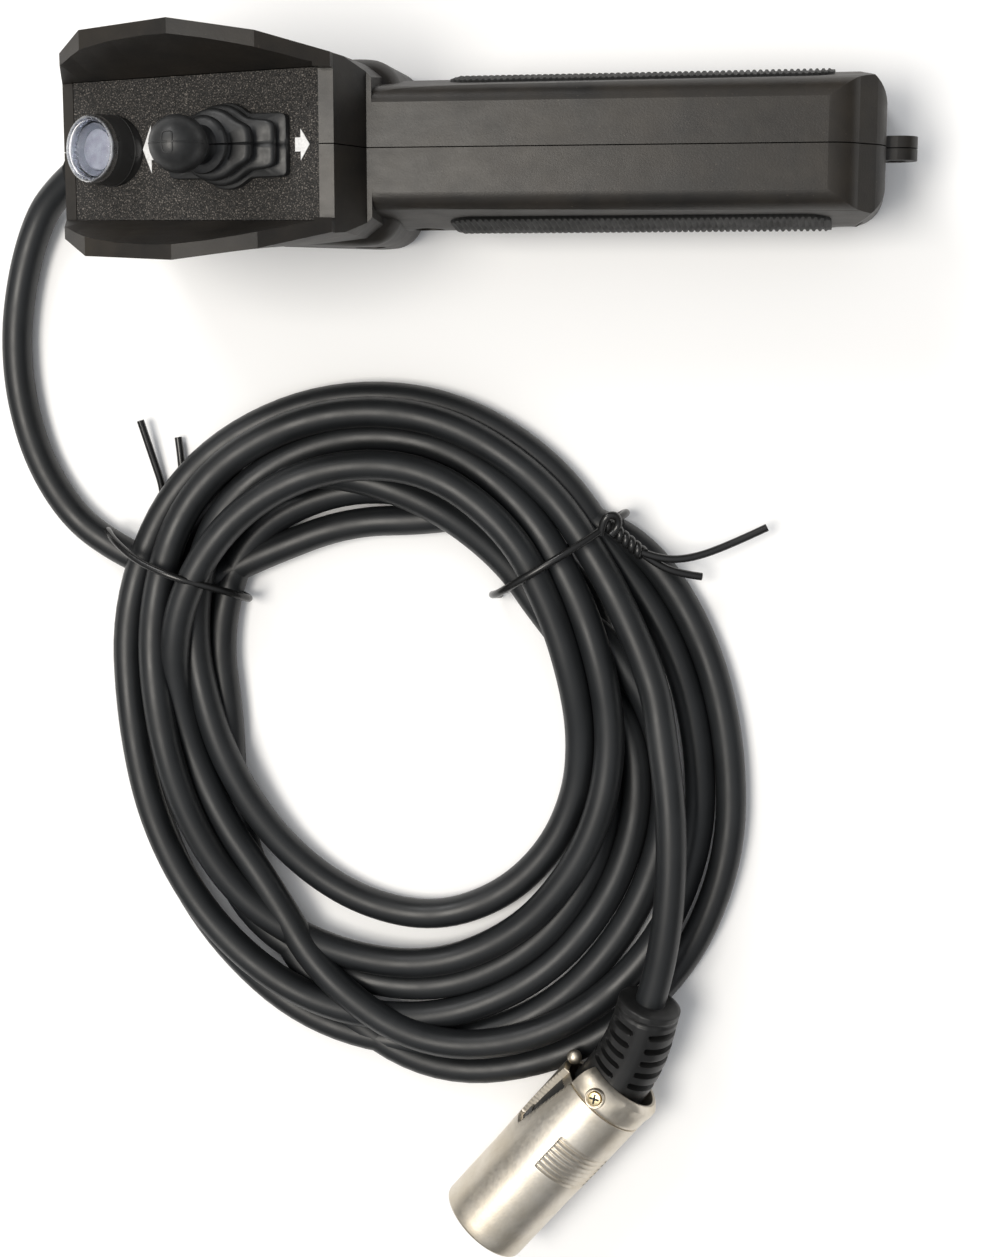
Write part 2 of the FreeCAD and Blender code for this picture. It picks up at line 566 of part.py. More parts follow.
def torch_emitter():
    base = rod(1.5, torch_at(-1.6), torch_at(0.4))
    return base.fuse(Part.makeSphere(1.4, torch_at(0.4)))


def torch_board():
    return rod(4.85, torch_at(-3.2), torch_at(-1.6))


# ---- Cord: gland, clamp and wires in the head ----
def cable_gland():
    """Rubber strain relief: a flange inside the wall, a neck through it and a taper outside."""
    flange = rod(5.6, GLAND_ROOT - GLAND_WAY * 2.2, GLAND_ROOT)
    neck = rod(GLAND_RADIUS, GLAND_ROOT, GLAND_ROOT + GLAND_WAY * 6.9)
    taper = cone(4.9, 3.7, GLAND_ROOT + GLAND_WAY * 6.9, GLAND_TIP)
    bore = rod(CORD_D / 2, GLAND_ROOT - GLAND_WAY * 3.0, GLAND_TIP + GLAND_WAY)
    return flange.fuse(neck).fuse(taper).cut(bore)


def inner_lead():
    """The lead's jacket from the gland's tip to just past the clamp."""
    return rod(CORD_D / 2, GLAND_ROOT - GLAND_WAY * 8.6, GLAND_TIP)


def cord_clamp():
    """Saddle and bar that hold the jacket down on two pillars."""
    start, end = CLAMP_PLACE + GLAND_WAY * 1.5, CLAMP_PLACE - GLAND_WAY * 1.5
    bar = box(CLAMP_PLACE.x - 1.4, CLAMP_PLACE.x + 1.4, -9.0, 9.0, CLAMP_PLACE.z + 0.2, CLAMP_PLACE.z + 2.6)
    saddle = rod(4.0, start, end).fuse(bar)
    return saddle.cut(rod(CORD_D / 2, start + GLAND_WAY * 3, end - GLAND_WAY * 3))


def clamp_screws():
    top = CLAMP_PLACE.z + 2.6
    return Part.makeCompound([rod(1.5, V(CLAMP_PLACE.x, y, top), V(CLAMP_PLACE.x, y, top + 1.2))
                              for y in (-7.0, 7.0)])


def inner_wires():
    """Three conductors to the switch's terminals and one to the torch."""
    start = GLAND_ROOT - GLAND_WAY * 8.6
    wires = []
    for u, y in ((-6.0, -1.5), (0.0, 0.0), (6.0, 1.5)):
        end = panel_point(u, y, SWITCH_BOTTOM - TAB_REACH)
        wires.append(thin_wire([start + V(0, y, 0), V(-55.0, 1.3 * y, 13.2), V(end.x - 2.5, y, 11.6), end], 0.65))
    end = torch_at(-3.2)
    wires.append(thin_wire([start + V(0, 0, 2.0), V(-59.0, 0, 20.0), end + V(2.0, 0, -4.5), end], 0.6))
    return Part.makeCompound(wires)


# ---- Coil and ties ----
def coil_bounds():
    """The nearest and farthest any turn comes to the coil's centre, every 45 degrees."""
    inner, outer = [], []
    for k in range(8):
        angle = -45 * k % 360
        radii = [turn[k] for turn in TURN_RADII] + [r for a, r in LEAD_IN_RADII if a == angle]
        inner.append(min(radii) - CORD_D / 2)
        outer.append(max(radii) + CORD_D / 2)
    return inner, outer


def closed_curve(radii, z):
    points = [COIL_CENTRE + V(r * cos(radians(-45 * k)), r * sin(radians(-45 * k)), z)
              for k, r in enumerate(radii)]
    curve = Part.BSplineCurve()
    curve.interpolate(points, PeriodicFlag=True)
    return Part.Face(Part.Wire(curve.toShape()))


def cable_coil():
    inner, outer = coil_bounds()
    disc = closed_curve(outer, 0).extrude(V(0, 0, COIL_HEIGHT))
    eye = closed_curve(inner, -1).extrude(V(0, 0, COIL_HEIGHT + 2))
    return disc.cut(eye).cut(plug_boot()).cut(rod(BARREL_RADIUS + 0.1, plug_at(RING_START - 1), PLUG_FRONT))


TIE_WIRE = 0.8        # radius of the plastic-covered tie wire


def tie(inner_point, outer_point):
    """A band of wire round the bundle, drawn as four straight sides with round corners."""
    low, high = TIE_WIRE, COIL_HEIGHT + TIE_WIRE
    a, b = V(inner_point.x, inner_point.y, low), V(outer_point.x, outer_point.y, low)
    c, d = V(outer_point.x, outer_point.y, high), V(inner_point.x, inner_point.y, high)
    sides = [rod(TIE_WIRE, p, q) for p, q in ((a, b), (b, c), (c, d), (d, a))]
    return sides[0].multiFuse(sides[1:] + [Part.makeSphere(TIE_WIRE, p) for p in (a, b, c, d)])


def tie_left():
    return tie(V(-52.8, -85.0, 0), V(-78.8, -72.6, 0))


def tie_right():
    return tie(V(1.0, -83.0, 0), V(22.6, -68.8, 0))


# ---- Plug ----
PLUG_WAY = (PLUG_FRONT - PLUG_REAR).normalize()
PLUG_LENGTH = (PLUG_FRONT - PLUG_REAR).Length
SHELL_WALL = 1.0
INSERT_DEPTH = 17.0
PIN_CIRCLE = 4.0
PIN_RADIUS = 1.2
RING_START, RING_END = -4.5, 0.9       # along the axis, from the barrel's rear towards its mouth
RING_RADIUS_OUT = 9.45
NOSE_START = 20.0
SCREW_DISTANCE = -1.5
SCREW_ANGLE = 78            # degrees round from the barrel's left side towards its top


def plug_at(distance):
    return PLUG_REAR + PLUG_WAY * distance


def plug_shell():
    """Metal barrel: the gripped part, then the slightly smaller front that enters the socket."""
    outer = rod(BARREL_RADIUS, plug_at(RING_END), plug_at(NOSE_START)).fuse(
        rod(NOSE_RADIUS, plug_at(NOSE_START), PLUG_FRONT))
    bore = rod(BARREL_RADIUS - SHELL_WALL, plug_at(PLUG_LENGTH - INSERT_DEPTH - 9.0), plug_at(PLUG_LENGTH + 1))
    rear = rod(6.6, plug_at(RING_END - 1), plug_at(PLUG_LENGTH))
    return outer.cut(bore).cut(rear)


def plug_insert():
    start = PLUG_LENGTH - INSERT_DEPTH
    return rod(BARREL_RADIUS - SHELL_WALL, plug_at(start - 9.0), plug_at(start)).cut(
        pin_group(start - 12.0, start + 1.0))


def pin_group(start, end):
    side = PLUG_WAY.cross(Z_AXIS).normalize()
    pins = []
    for angle in (90, 210, 330):
        offset = side * (PIN_CIRCLE * cos(radians(angle))) + Z_AXIS * (PIN_CIRCLE * sin(radians(angle)))
        pins.append(rod(PIN_RADIUS, plug_at(start) + offset, plug_at(end) + offset))
    return Part.makeCompound(pins)


def plug_pins():
    return pin_group(PLUG_LENGTH - INSERT_DEPTH - 11.0, PLUG_LENGTH - 7.0)


def plug_out(degrees):
    """The direction out of the barrel at an angle from its left side."""
    side = PLUG_WAY.cross(Z_AXIS).normalize()
    return side * cos(radians(degrees)) + Z_AXIS * sin(radians(degrees))


def plug_clamp_ring():
    ring = rod(RING_RADIUS_OUT, plug_at(RING_START), plug_at(RING_END)).cut(
        rod(6.6, plug_at(RING_START - 1), plug_at(RING_END + 1)))
    out = plug_out(SCREW_ANGLE)
    place = plug_at(SCREW_DISTANCE) + out * (RING_RADIUS_OUT - 1.2)
    ear = rod(2.3, place, place + out * 1.8)
    hole = rod(1.2, place - out * 3, place + out * 3)
    return ring.fuse(ear).cut(hole)


def plug_screw():
    out = plug_out(SCREW_ANGLE)
    place = plug_at(SCREW_DISTANCE) + out * (RING_RADIUS_OUT + 0.6)
    head = rod(1.9, place, place + out * 1.0)
    shank = rod(1.2, place - out * 3.4, place)
    return head.fuse(shank).cut(rod(0.8, place + out * 0.5, place + out * 2.0))


def plug_boot():
    """Tapered rubber boot, flexed between the clamp ring and the lead."""
    cord_end = TAIL_ROUTE[-1]
    start, start_way = plug_at(RING_START), PLUG_WAY * -1
    end_way = (TAIL_ROUTE[-2] - TAIL_ROUTE[-1]).normalize()
    reach = (cord_end - start).Length
    curve = Part.BezierCurve()
    curve.setPoles([start, start + start_way * (reach * 0.4), cord_end - end_way * (reach * 0.35), cord_end])
    sections = []
    for t, radius in ((0.0, 7.0), (0.33, 6.7), (0.66, 6.3), (1.0, 6.0)):
        circle = Part.Circle(curve.value(t), curve.tangent(t)[0], radius)
        sections.append(Part.Wire(circle.toShape()))
    root = rod(6.6, plug_at(4.0), plug_at(RING_START - 0.3))
    return Part.makeLoft(sections, True, False).fuse(root)


# ---- Write every piece ----
body = housing()
left, right = split(body)
save("housing_left", largest(left))
save("housing_right", largest(right))
pad_left, pad_right = grip_pads()
save("grip_pad_left", pad_left)
save("grip_pad_right", pad_right)
save("housing_screws", housing_screws())
save("control_panel", control_panel())
save("mark_down_slope", arrow(-16.3, -1, 2.8, 8.4))
save("mark_up_slope", arrow(14.3, 1, 2.8, 5.4))
for piece in (boot_flange, boot_bellows, boot_cap, toggle_lever, lever_spring, lever_plunger,
              toggle_bushing, toggle_nut, toggle_washer, switch_body, switch_terminals, contact_rocker,
              rocker_pin, torch_body, torch_ring, torch_lens, torch_reflector, torch_emitter, torch_board,
              cable_gland, inner_lead, cord_clamp, clamp_screws, inner_wires, cable_coil, tie_left,
              tie_right, plug_shell, plug_insert, plug_pins, plug_clamp_ring, plug_screw, plug_boot):
    save(piece.__name__, piece())
save("cable_lead", bent_tube(LEAD_ROUTE, CORD_D / 2))
save("cable_tail", bent_tube(TAIL_ROUTE, CORD_D / 2))
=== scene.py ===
import json
from itertools import combinations
from math import copysign, cos, degrees, pi, radians, sin, sqrt

import bpy
import numpy as np
from mathutils import Matrix, Vector


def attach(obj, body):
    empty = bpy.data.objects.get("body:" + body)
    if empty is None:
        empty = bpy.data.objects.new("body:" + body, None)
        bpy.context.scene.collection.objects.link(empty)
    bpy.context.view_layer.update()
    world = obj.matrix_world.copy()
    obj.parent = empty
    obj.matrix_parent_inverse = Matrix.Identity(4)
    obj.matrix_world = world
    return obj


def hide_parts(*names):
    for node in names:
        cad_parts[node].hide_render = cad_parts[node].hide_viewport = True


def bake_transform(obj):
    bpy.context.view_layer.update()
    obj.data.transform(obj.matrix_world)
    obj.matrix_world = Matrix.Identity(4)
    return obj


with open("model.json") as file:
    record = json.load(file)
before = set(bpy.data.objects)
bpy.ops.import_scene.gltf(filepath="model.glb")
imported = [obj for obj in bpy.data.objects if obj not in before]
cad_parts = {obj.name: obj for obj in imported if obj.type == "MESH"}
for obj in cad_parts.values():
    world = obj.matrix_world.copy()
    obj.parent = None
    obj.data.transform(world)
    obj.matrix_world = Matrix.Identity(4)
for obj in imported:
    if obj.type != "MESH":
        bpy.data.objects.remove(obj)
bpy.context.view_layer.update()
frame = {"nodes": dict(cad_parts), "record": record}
NODES = frame["nodes"]
MM = 0.001


def mm(x, y, z):
    return Vector((x, y, z)) * MM


# ---- Camera ----
def make_camera():
    place = mm(67.6, -30.2, 389.1)
    back = Vector((0.17440, 0.15256, 0.97279)).normalized()
    upward = Vector((-0.02756, 0.98830, -0.15005))
    right = upward.cross(back).normalized()
    up = back.cross(right)
    data = bpy.data.cameras.new("camera")
    data.lens, data.sensor_width = 57.28, 36.0
    data.clip_start, data.clip_end = 0.01, 20.0
    camera = bpy.data.objects.new("camera", data)
    turn = Matrix((right, up, back)).transposed().to_4x4()
    camera.matrix_world = Matrix.Translation(place) @ turn
    bpy.context.scene.collection.objects.link(camera)
    bpy.context.scene.camera = camera


make_camera()


# ---- Materials ----
MIX_A, MIX_B, MIX_RESULT = 6, 7, 2      # the colour sockets of a Mix node
NOISE_SPAN = (0.3, 0.7)                 # where nearly all of a noise's values lie


class Nodes:
    """A material's node tree with short ways to add and join nodes."""

    def __init__(self, name):
        self.material = bpy.data.materials.new(name)
        self.material.use_nodes = True
        self.tree = self.material.node_tree
        self.tree.nodes.clear()
        self.shader = self.add("ShaderNodeBsdfPrincipled")
        output = self.add("ShaderNodeOutputMaterial")
        self.link(self.shader.outputs[0], output.inputs[0])
        self.where = self.add("ShaderNodeTexCoord").outputs["Object"]

    def add(self, kind, **values):
        node = self.tree.nodes.new(kind)
        for key, value in values.items():
            if key in node.inputs:
                node.inputs[key].default_value = value
            else:
                setattr(node, key, value)
        return node

    def link(self, start, end):
        self.tree.links.new(start, end)

    def noise(self, per_mm, detail=2.0, rough=0.5, stretch=None):
        node = self.add("ShaderNodeTexNoise", Scale=per_mm / MM, Detail=detail, Roughness=rough)
        if stretch:
            mapping = self.add("ShaderNodeMapping")
            mapping.inputs["Scale"].default_value = stretch
            self.link(self.where, mapping.inputs["Vector"])
            self.link(mapping.outputs[0], node.inputs["Vector"])
        else:
            self.link(self.where, node.inputs["Vector"])
        return node.outputs[0]

    def ramp(self, source, low, high, start, end):
        node = self.add("ShaderNodeMapRange")
        node.inputs["From Min"].default_value, node.inputs["From Max"].default_value = low, high
        node.inputs["To Min"].default_value, node.inputs["To Max"].default_value = start, end
        self.link(source, node.inputs["Value"])
        return node.outputs[0]

    def spread(self, noise, start, end):
        return self.ramp(noise, *NOISE_SPAN, start, end)

    def mix(self, amount, a, b):
        """Mixes a into b by a socket's amount; a is a colour or another socket."""
        node = self.add("ShaderNodeMix", data_type="RGBA")
        if isinstance(a, tuple):
            node.inputs[MIX_A].default_value = (*a, 1)
        else:
            self.link(a, node.inputs[MIX_A])
        node.inputs[MIX_B].default_value = (*b, 1)
        self.link(amount, node.inputs[0])
        return node.outputs[MIX_RESULT]

    def bump(self, height, strength, distance_mm, after=None):
        node = self.add("ShaderNodeBump", Strength=strength, Distance=distance_mm * MM)
        self.link(height, node.inputs["Height"])
        if after:
            self.link(after, node.inputs["Normal"])
        return node.outputs[0]


def moulded(name, dark, light, rough, grain, specular=0.5, patch=0.08):
    """Moulded plastic or rubber: blotchy colour, uneven gloss and a fine grain.
    rough is (least, most); grain is (grains per mm, strength, height in mm); patch is blotches per mm."""
    n = Nodes(name)
    per_mm, strength, height = grain
    n.link(n.mix(n.spread(n.noise(patch, 3.0, 0.6), 0, 1), dark, light), n.shader.inputs["Base Color"])
    n.link(n.spread(n.noise(patch * 3, 3.0), *rough), n.shader.inputs["Roughness"])
    n.link(n.bump(n.noise(per_mm, 3.0, 0.6), strength, height), n.shader.inputs["Normal"])
    n.shader.inputs["Specular IOR Level"].default_value = specular
    return n.material


def grey(value, warm=0.0):
    return (value * (1 + warm), value, value * (1 - warm))


def shell_material():
    """Satin black nylon: warm where it is rubbed, with faint handling marks, ripples and pale specks."""
    n = Nodes("shell_plastic")
    blotch = n.noise(0.07, 4.0, 0.62)
    streak = n.noise(0.35, 4.0, 0.65, stretch=(0.55, 1.0, 1.0))
    axes = n.add("ShaderNodeSeparateXYZ")
    n.link(n.add("ShaderNodeNewGeometry").outputs["Normal"], axes.inputs[0])
    upward = n.ramp(axes.outputs["Z"], 0.25, 0.80, 0, 1)
    speck = n.noise(1.5, 2.0, 0.5)
    base = n.mix(n.spread(blotch, 0, 1), (0.0110, 0.0102, 0.0095), (0.028, 0.0235, 0.0185))
    flecked = n.mix(n.ramp(speck, 0.72, 0.80, 0, 0.6), base, (0.085, 0.072, 0.058))
    n.link(flecked, n.shader.inputs["Base Color"])
    gloss = n.add("ShaderNodeMix")
    side_rough, top_rough = n.spread(streak, 0.46, 0.54), n.spread(streak, 0.32, 0.385)
    for source, socket in zip((upward, side_rough, top_rough), (0, 2, 3)):
        n.link(source, gloss.inputs[socket])
    n.link(gloss.outputs[0], n.shader.inputs["Roughness"])
    grain = n.bump(n.noise(3.2, 4.0, 0.65), 0.5, 0.035)
    ripple = n.bump(streak, 0.22, 0.10, grain)
    n.link(n.bump(n.noise(0.10, 2.0), 0.3, 0.25, ripple), n.shader.inputs["Normal"])
    n.shader.inputs["Specular IOR Level"].default_value = 0.34
    return n.material


def panel_material():
    """Matt black plate with a coarse pebbled grain and painted glints: pale flecks in its colour."""
    n = Nodes("panel_plastic")
    grain = n.noise(2.4, 3.0, 0.6)
    painted_glint = n.noise(3.8, 2.0, 0.5)
    base = n.mix(n.ramp(grain, 0.42, 0.66, 0, 1), (0.008, 0.0078, 0.0075), (0.034, 0.031, 0.028))
    # Painted glints: pale flecks mixed into the colour stand in for light glinting off the grain.
    glinting = n.mix(n.ramp(painted_glint, 0.57, 0.67, 0, 0.85), base, (0.20, 0.18, 0.16))
    n.link(glinting, n.shader.inputs["Base Color"])
    n.link(n.spread(n.noise(1.2, 2.0), 0.42, 0.60), n.shader.inputs["Roughness"])
    n.link(n.bump(grain, 1.0, 0.36), n.shader.inputs["Normal"])
    n.shader.inputs["Specular IOR Level"].default_value = 0.36
    return n.material


def metal(name, dark, light, rough, grain, bump=0.15):
    """Metal with uneven colour and gloss and a fine rolled or cast grain."""
    n = Nodes(name)
    n.shader.inputs["Metallic"].default_value = 1.0
    n.link(n.mix(n.spread(n.noise(0.09, 4.0, 0.6), 0, 1), dark, light), n.shader.inputs["Base Color"])
    n.link(n.spread(n.noise(grain * 0.5, 3.0, 0.6), *rough), n.shader.inputs["Roughness"])
    n.link(n.bump(n.noise(grain, 3.0, 0.6), bump, 0.03), n.shader.inputs["Normal"])
    return n.material


def glass_material():
    n = Nodes("lens_glass")
    n.shader.inputs["Transmission Weight"].default_value = 1.0
    n.shader.inputs["IOR"].default_value = 1.10
    n.link(n.mix(n.noise(0.4), (0.90, 0.92, 0.97), (0.95, 0.96, 1.0)), n.shader.inputs["Base Color"])
    n.link(n.spread(n.noise(0.8), 0.05, 0.12), n.shader.inputs["Roughness"])
    return n.material


MATERIALS = {
    "shell": shell_material(),
    "panel": panel_material(),
    "pad_rubber": moulded("pad_rubber", grey(0.003), grey(0.006), (0.50, 0.62), (4.0, 0.4, 0.05),
                          specular=0.15),
    "boot_rubber": moulded("boot_rubber", grey(0.010, -0.04), grey(0.021, -0.04), (0.38, 0.52),
                           (6.0, 0.25, 0.03), patch=0.3),
    "plug_rubber": moulded("plug_rubber", grey(0.006), grey(0.012), (0.36, 0.52), (5.0, 0.25, 0.03)),
    "cord_rubber": moulded("cord_rubber", grey(0.0080, -0.10), grey(0.0155, -0.10), (0.36, 0.48),
                           (3.0, 0.25, 0.04), specular=0.45, patch=0.05),
    "tie_wire": moulded("tie_plastic", grey(0.005), grey(0.010), (0.20, 0.32), (3.0, 0.2, 0.03)),
    "collar_plastic": moulded("collar_plastic", grey(0.020), grey(0.030), (0.26, 0.36), (2.0, 0.15, 0.02),
                              specular=0.7),
    "mark": moulded("mark_ink", grey(0.62), grey(0.82), (0.5, 0.7), (6.0, 0.5, 0.03), patch=2.0),
    "screw_steel": metal("screw_steel", grey(0.05), grey(0.09), (0.35, 0.5), 4.0),
    "spring_steel": metal("spring_steel", grey(0.45), grey(0.6), (0.25, 0.4), 4.0),
    "lever_chrome": metal("lever_chrome", grey(0.6), grey(0.72), (0.08, 0.16), 3.0, bump=0.05),
    "nickel": metal("nickel", (0.60, 0.535, 0.43), (0.76, 0.71, 0.63), (0.36, 0.47), 2.4, bump=0.7),
    "contact_brass": metal("contact_brass", (0.52, 0.43, 0.25), (0.66, 0.56, 0.36), (0.25, 0.4), 4.0),
    # torch_satin: grey-blue satin colour painted in place of the chrome reflector's reflection, a painted
    # reflection.
    "torch_satin": moulded("torch_satin", (0.16, 0.17, 0.20), (0.24, 0.25, 0.285), (0.4, 0.5),
                           (2.0, 0.2, 0.03), patch=0.5),
    "diffuser": moulded("diffuser", (0.27, 0.275, 0.315), (0.40, 0.405, 0.445), (0.3, 0.45),
                        (1.2, 0.4, 0.1), patch=0.7),
    "torch_chrome": metal("torch_chrome", grey(0.78), (0.88, 0.89, 0.92), (0.24, 0.34), 3.0, bump=0.05),
    "insert_plastic": moulded("insert_plastic", grey(0.02), grey(0.03), (0.4, 0.55), (4.0, 0.3, 0.03)),
    "switch_plastic": moulded("switch_plastic", grey(0.03), grey(0.05), (0.45, 0.6), (4.0, 0.3, 0.03)),
    "emitter": moulded("emitter_resin", (0.75, 0.70, 0.35), (0.85, 0.80, 0.45), (0.2, 0.3), (3.0, 0.1, 0.02)),
    "board": moulded("board_laminate", (0.02, 0.12, 0.05), (0.03, 0.18, 0.07), (0.3, 0.45), (4.0, 0.2, 0.02)),
    "wire_insulation": moulded("wire_insulation", (0.30, 0.03, 0.02), (0.4, 0.05, 0.03), (0.35, 0.5),
                               (4.0, 0.1, 0.02)),
    "lens": glass_material(),
}

SLOT_OF = {row["node"]: row["material_slot"] for row in frame["record"]["subparts"]}
for node_name, node in NODES.items():
    node.data.materials.clear()
    node.data.materials.append(MATERIALS[SLOT_OF[node_name]])


# ---- Mesh helpers ----
def finished(name, mesh, look, body):
    mesh.materials.append(MATERIALS[look])
    mesh.shade_smooth()
    piece = bpy.data.objects.new(name, mesh)
    bpy.context.scene.collection.objects.link(piece)
    if body:
        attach(piece, body)
    return piece


def loft(name, rings, look, body="housing", caps=(True, True), ring_closed=True, loop=False,
         sharp=None):
    """Skins a list of rings of points, all of one count. loop joins the last ring to the first."""
    count = len(rings[0])
    points = [p for ring in rings for p in ring]
    faces = []
    for i in range(len(rings) if loop else len(rings) - 1):
        a, b = i * count, (i + 1) % len(rings) * count
        for j in range(count if ring_closed else count - 1):
            k = (j + 1) % count
            faces.append((a + j, a + k, b + k, b + j))
    if not loop:
        for wanted, ring, flip in ((caps[0], 0, True), (caps[1], len(rings) - 1, False)):
            if wanted:
                middle = sum(rings[ring], Vector()) / count
                points.append(middle)
                centre = len(points) - 1
                for j in range(count):
                    a, b = ring * count + j, ring * count + (j + 1) % count
                    faces.append((b, a, centre) if flip else (a, b, centre))
    mesh = bpy.data.meshes.new(name)
    mesh.from_pydata([tuple(p) for p in points], [], faces)
    mesh.update()
    piece = finished(name, mesh, look, body)
    if sharp:
        mesh.set_sharp_from_angle(angle=radians(sharp))
    return piece


def lathe(name, base, way, profile, look, count=96, side=None, change=None, sharp=35,
          caps=(True, True), loop=False):
    """Turns a profile of (distance along way, radius) in mm about an axis.
    change(s, angle, r) gives the radius to use in r's place."""
    way = way.normalized()
    side = (side or way.orthogonal()).normalized()
    up = side.cross(way).normalized()
    if up.z < 0:
        up = -up
    rings = []
    for s, r in profile:
        ring = []
        for j in range(count):
            angle = 2 * pi * j / count
            radius = change(s, angle, r) if change else r
            ring.append(base + way * s * MM + (side * cos(angle) + up * sin(angle)) * radius * MM)
        rings.append(ring)
    return loft(name, rings, look, caps=caps, loop=loop, sharp=sharp)


def steps(start, end, count):
    """Evenly spaced numbers from start to end, count steps apart."""
    return [start + (end - start) * i / count for i in range(count + 1)]


def smooth_step(x, low, high):
    t = min(max((x - low) / (high - low), 0.0), 1.0)
    return t * t * (3 - 2 * t)


# ---- The lead: one spline from the gland to the plug ----
CORD_D = 6.0
LEAD_ROUTE = [
    (-85.4, -2.2, 7.3), (-91.4, -6.2, 4.9), (-96.0, -13.2, 3.4), (-99.2, -23.4, 3.1), (-100.8, -34.6, 3.0),
    (-100.0, -46.8, 3.1), (-96.4, -59.4, 3.0), (-89.4, -70.2, 3.1), (-80.5, -76.4, 3.0),
]
LEAD_UNDER = [(-71.0, -80.4, 3.0), (-60.0, -82.0, 3.0)]
COIL_CENTRE = (-14.5, -111.4)
# Each turn's radius every 45 degrees clockwise from +X
TURN_RADII = [
    [57.7, 68.8, 70.2, 52.6, 42.5, 54.5, 47.8, 41.1],
    [34.4, 43.5, 54.0, 54.2, 47.5, 58.4, 49.8, 36.8],
    [44.5, 55.2, 68.0, 64.2, 60.9, 64.6, 46.3, 33.1],
    [41.2, 48.1, 60.0, 61.6, 60.7, 71.0, 65.5, 52.6],
    [53.0, 61.9, 64.5, 47.3, 50.8, 56.9, 52.7, 35.3],
    [30.2, 33.4, 38.8, 39.8, 44.7, 61.0, 58.5, 40.5],
    [36.0, 39.8, 48.6, 51.6, 52.4, 66.8, 62.0, 48.0],
]
LEAD_IN_RADII = [49.0, 41.0, 53.0]      # the first pass, at 135, 90 and 45 degrees
TAIL_ROUTE = [
    (30.6, -98.0, 13.0), (32.6, -109.0, 15.6), (34.4, -121.0, 16.2), (34.9, -133.4, 16.3),
    (34.2, -145.6, 15.9), (32.4, -156.4, 14.9), (30.9, -162.0, 14.1),
]
PER_TURN = 16
COIL_START = 135.0                      # degrees, where the first pass begins

# How the turns are dropped on each other, in mm and shares per round
ROUNDS, PASSES = 260, 2
START_RISE = 7.0                        # height between turns before they drop
FALL, PULL = 0.30, 0.30                 # drop, and the share of the way back to the wanted radius
KEEP, SHARE = 0.6, 0.2                  # smoothing: what a point keeps and what each neighbour gives
PUSH_ACROSS, PUSH_UP = 0.6, 1.2


def wanted_radii():
    """Radii every 22.5 degrees, from the lead's first pass to the last turn's end."""
    stations = LEAD_IN_RADII + [r for turn in TURN_RADII for r in turn]
    fine = []
    for i, r in enumerate(stations):
        fine.append(r)
        if i + 1 < len(stations):
            before, after = stations[max(i - 1, 0)], stations[min(i + 2, len(stations) - 1)]
            fine.append((9 * (r + stations[i + 1]) - before - after) / 16)
    return np.array(fine)


def settle_coil():
    """Lets the turns drop on each other: later turns start higher, and no two strands at one angle
    may come nearer than the lead's diameter. Gives radius and height along the lead."""
    wanted = wanted_radii()
    index = np.arange(len(wanted))
    radius = wanted.copy()
    height = CORD_D / 2 + START_RISE * (index + PER_TURN - 2 * len(LEAD_IN_RADII)) / PER_TURN
    stacks = [index[index % PER_TURN == a] for a in range(PER_TURN)]
    for _ in range(ROUNDS):
        height -= FALL
        radius += PULL * (wanted - radius)
        drift = radius - wanted
        drift[1:-1] = KEEP * drift[1:-1] + SHARE * (drift[:-2] + drift[2:])
        radius = wanted + drift
        height[1:-1] = KEEP * height[1:-1] + SHARE * (height[:-2] + height[2:])
        for stack in stacks:
            for low, high in [*combinations(stack, 2)] * PASSES:
                across, rise = radius[high] - radius[low], height[high] - height[low]
                gap = sqrt(across * across + rise * rise) or 0.01
                if gap < CORD_D:
                    push = (CORD_D - gap) / gap / 2
                    radius[low] -= across * push * PUSH_ACROSS
                    radius[high] += across * push * PUSH_ACROSS
                    height[low] -= rise * push * PUSH_UP
                    height[high] += rise * push * PUSH_UP
        height = np.maximum(height, CORD_D / 2)
    return radius, height


def coil_points():
    radius, height = settle_coil()
    outward = 1 / cos(pi / PER_TURN)        # the spline cuts inside its control points
    points = []
    for i, (r, z) in enumerate(zip(radius, height)):
        angle = radians(COIL_START) - 2 * pi * i / PER_TURN
        points.append((COIL_CENTRE[0] + r * outward * cos(angle),
                       COIL_CENTRE[1] + r * outward * sin(angle), z))
    return points


def spline_object(name, points, radius, look):
    """A round NURBS curve with the given control points, in mm."""
    data = bpy.data.curves.new(name, "CURVE")
    data.dimensions = "3D"
    data.bevel_depth = radius * MM
    data.bevel_resolution = 6
    data.resolution_u = 8
    data.use_fill_caps = True
    spline = data.splines.new("NURBS")
    spline.points.add(len(points) - 1)
    for point, place in zip(spline.points, points):
        point.co = (*(Vector(place) * MM), 1)
    spline.order_u = 3
    spline.use_endpoint_u = True
    data.materials.append(MATERIALS[look])
    piece = bpy.data.objects.new(name, data)
    bpy.context.scene.collection.objects.link(piece)
    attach(piece, "housing")
    return piece


CORD_POINTS = LEAD_ROUTE + LEAD_UNDER + coil_points() + TAIL_ROUTE
cord = spline_object("lead", CORD_POINTS, CORD_D / 2, "cord_rubber")
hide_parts("cable_lead", "cable_coil", "cable_tail")


# ---- Gland ----
GLAND_TIP, GLAND_ROOT = mm(-85.4, -2.2, 7.3), mm(-68.9, 0.37, 12.55)
GLAND_RINGS = 5                         # rings of the taper


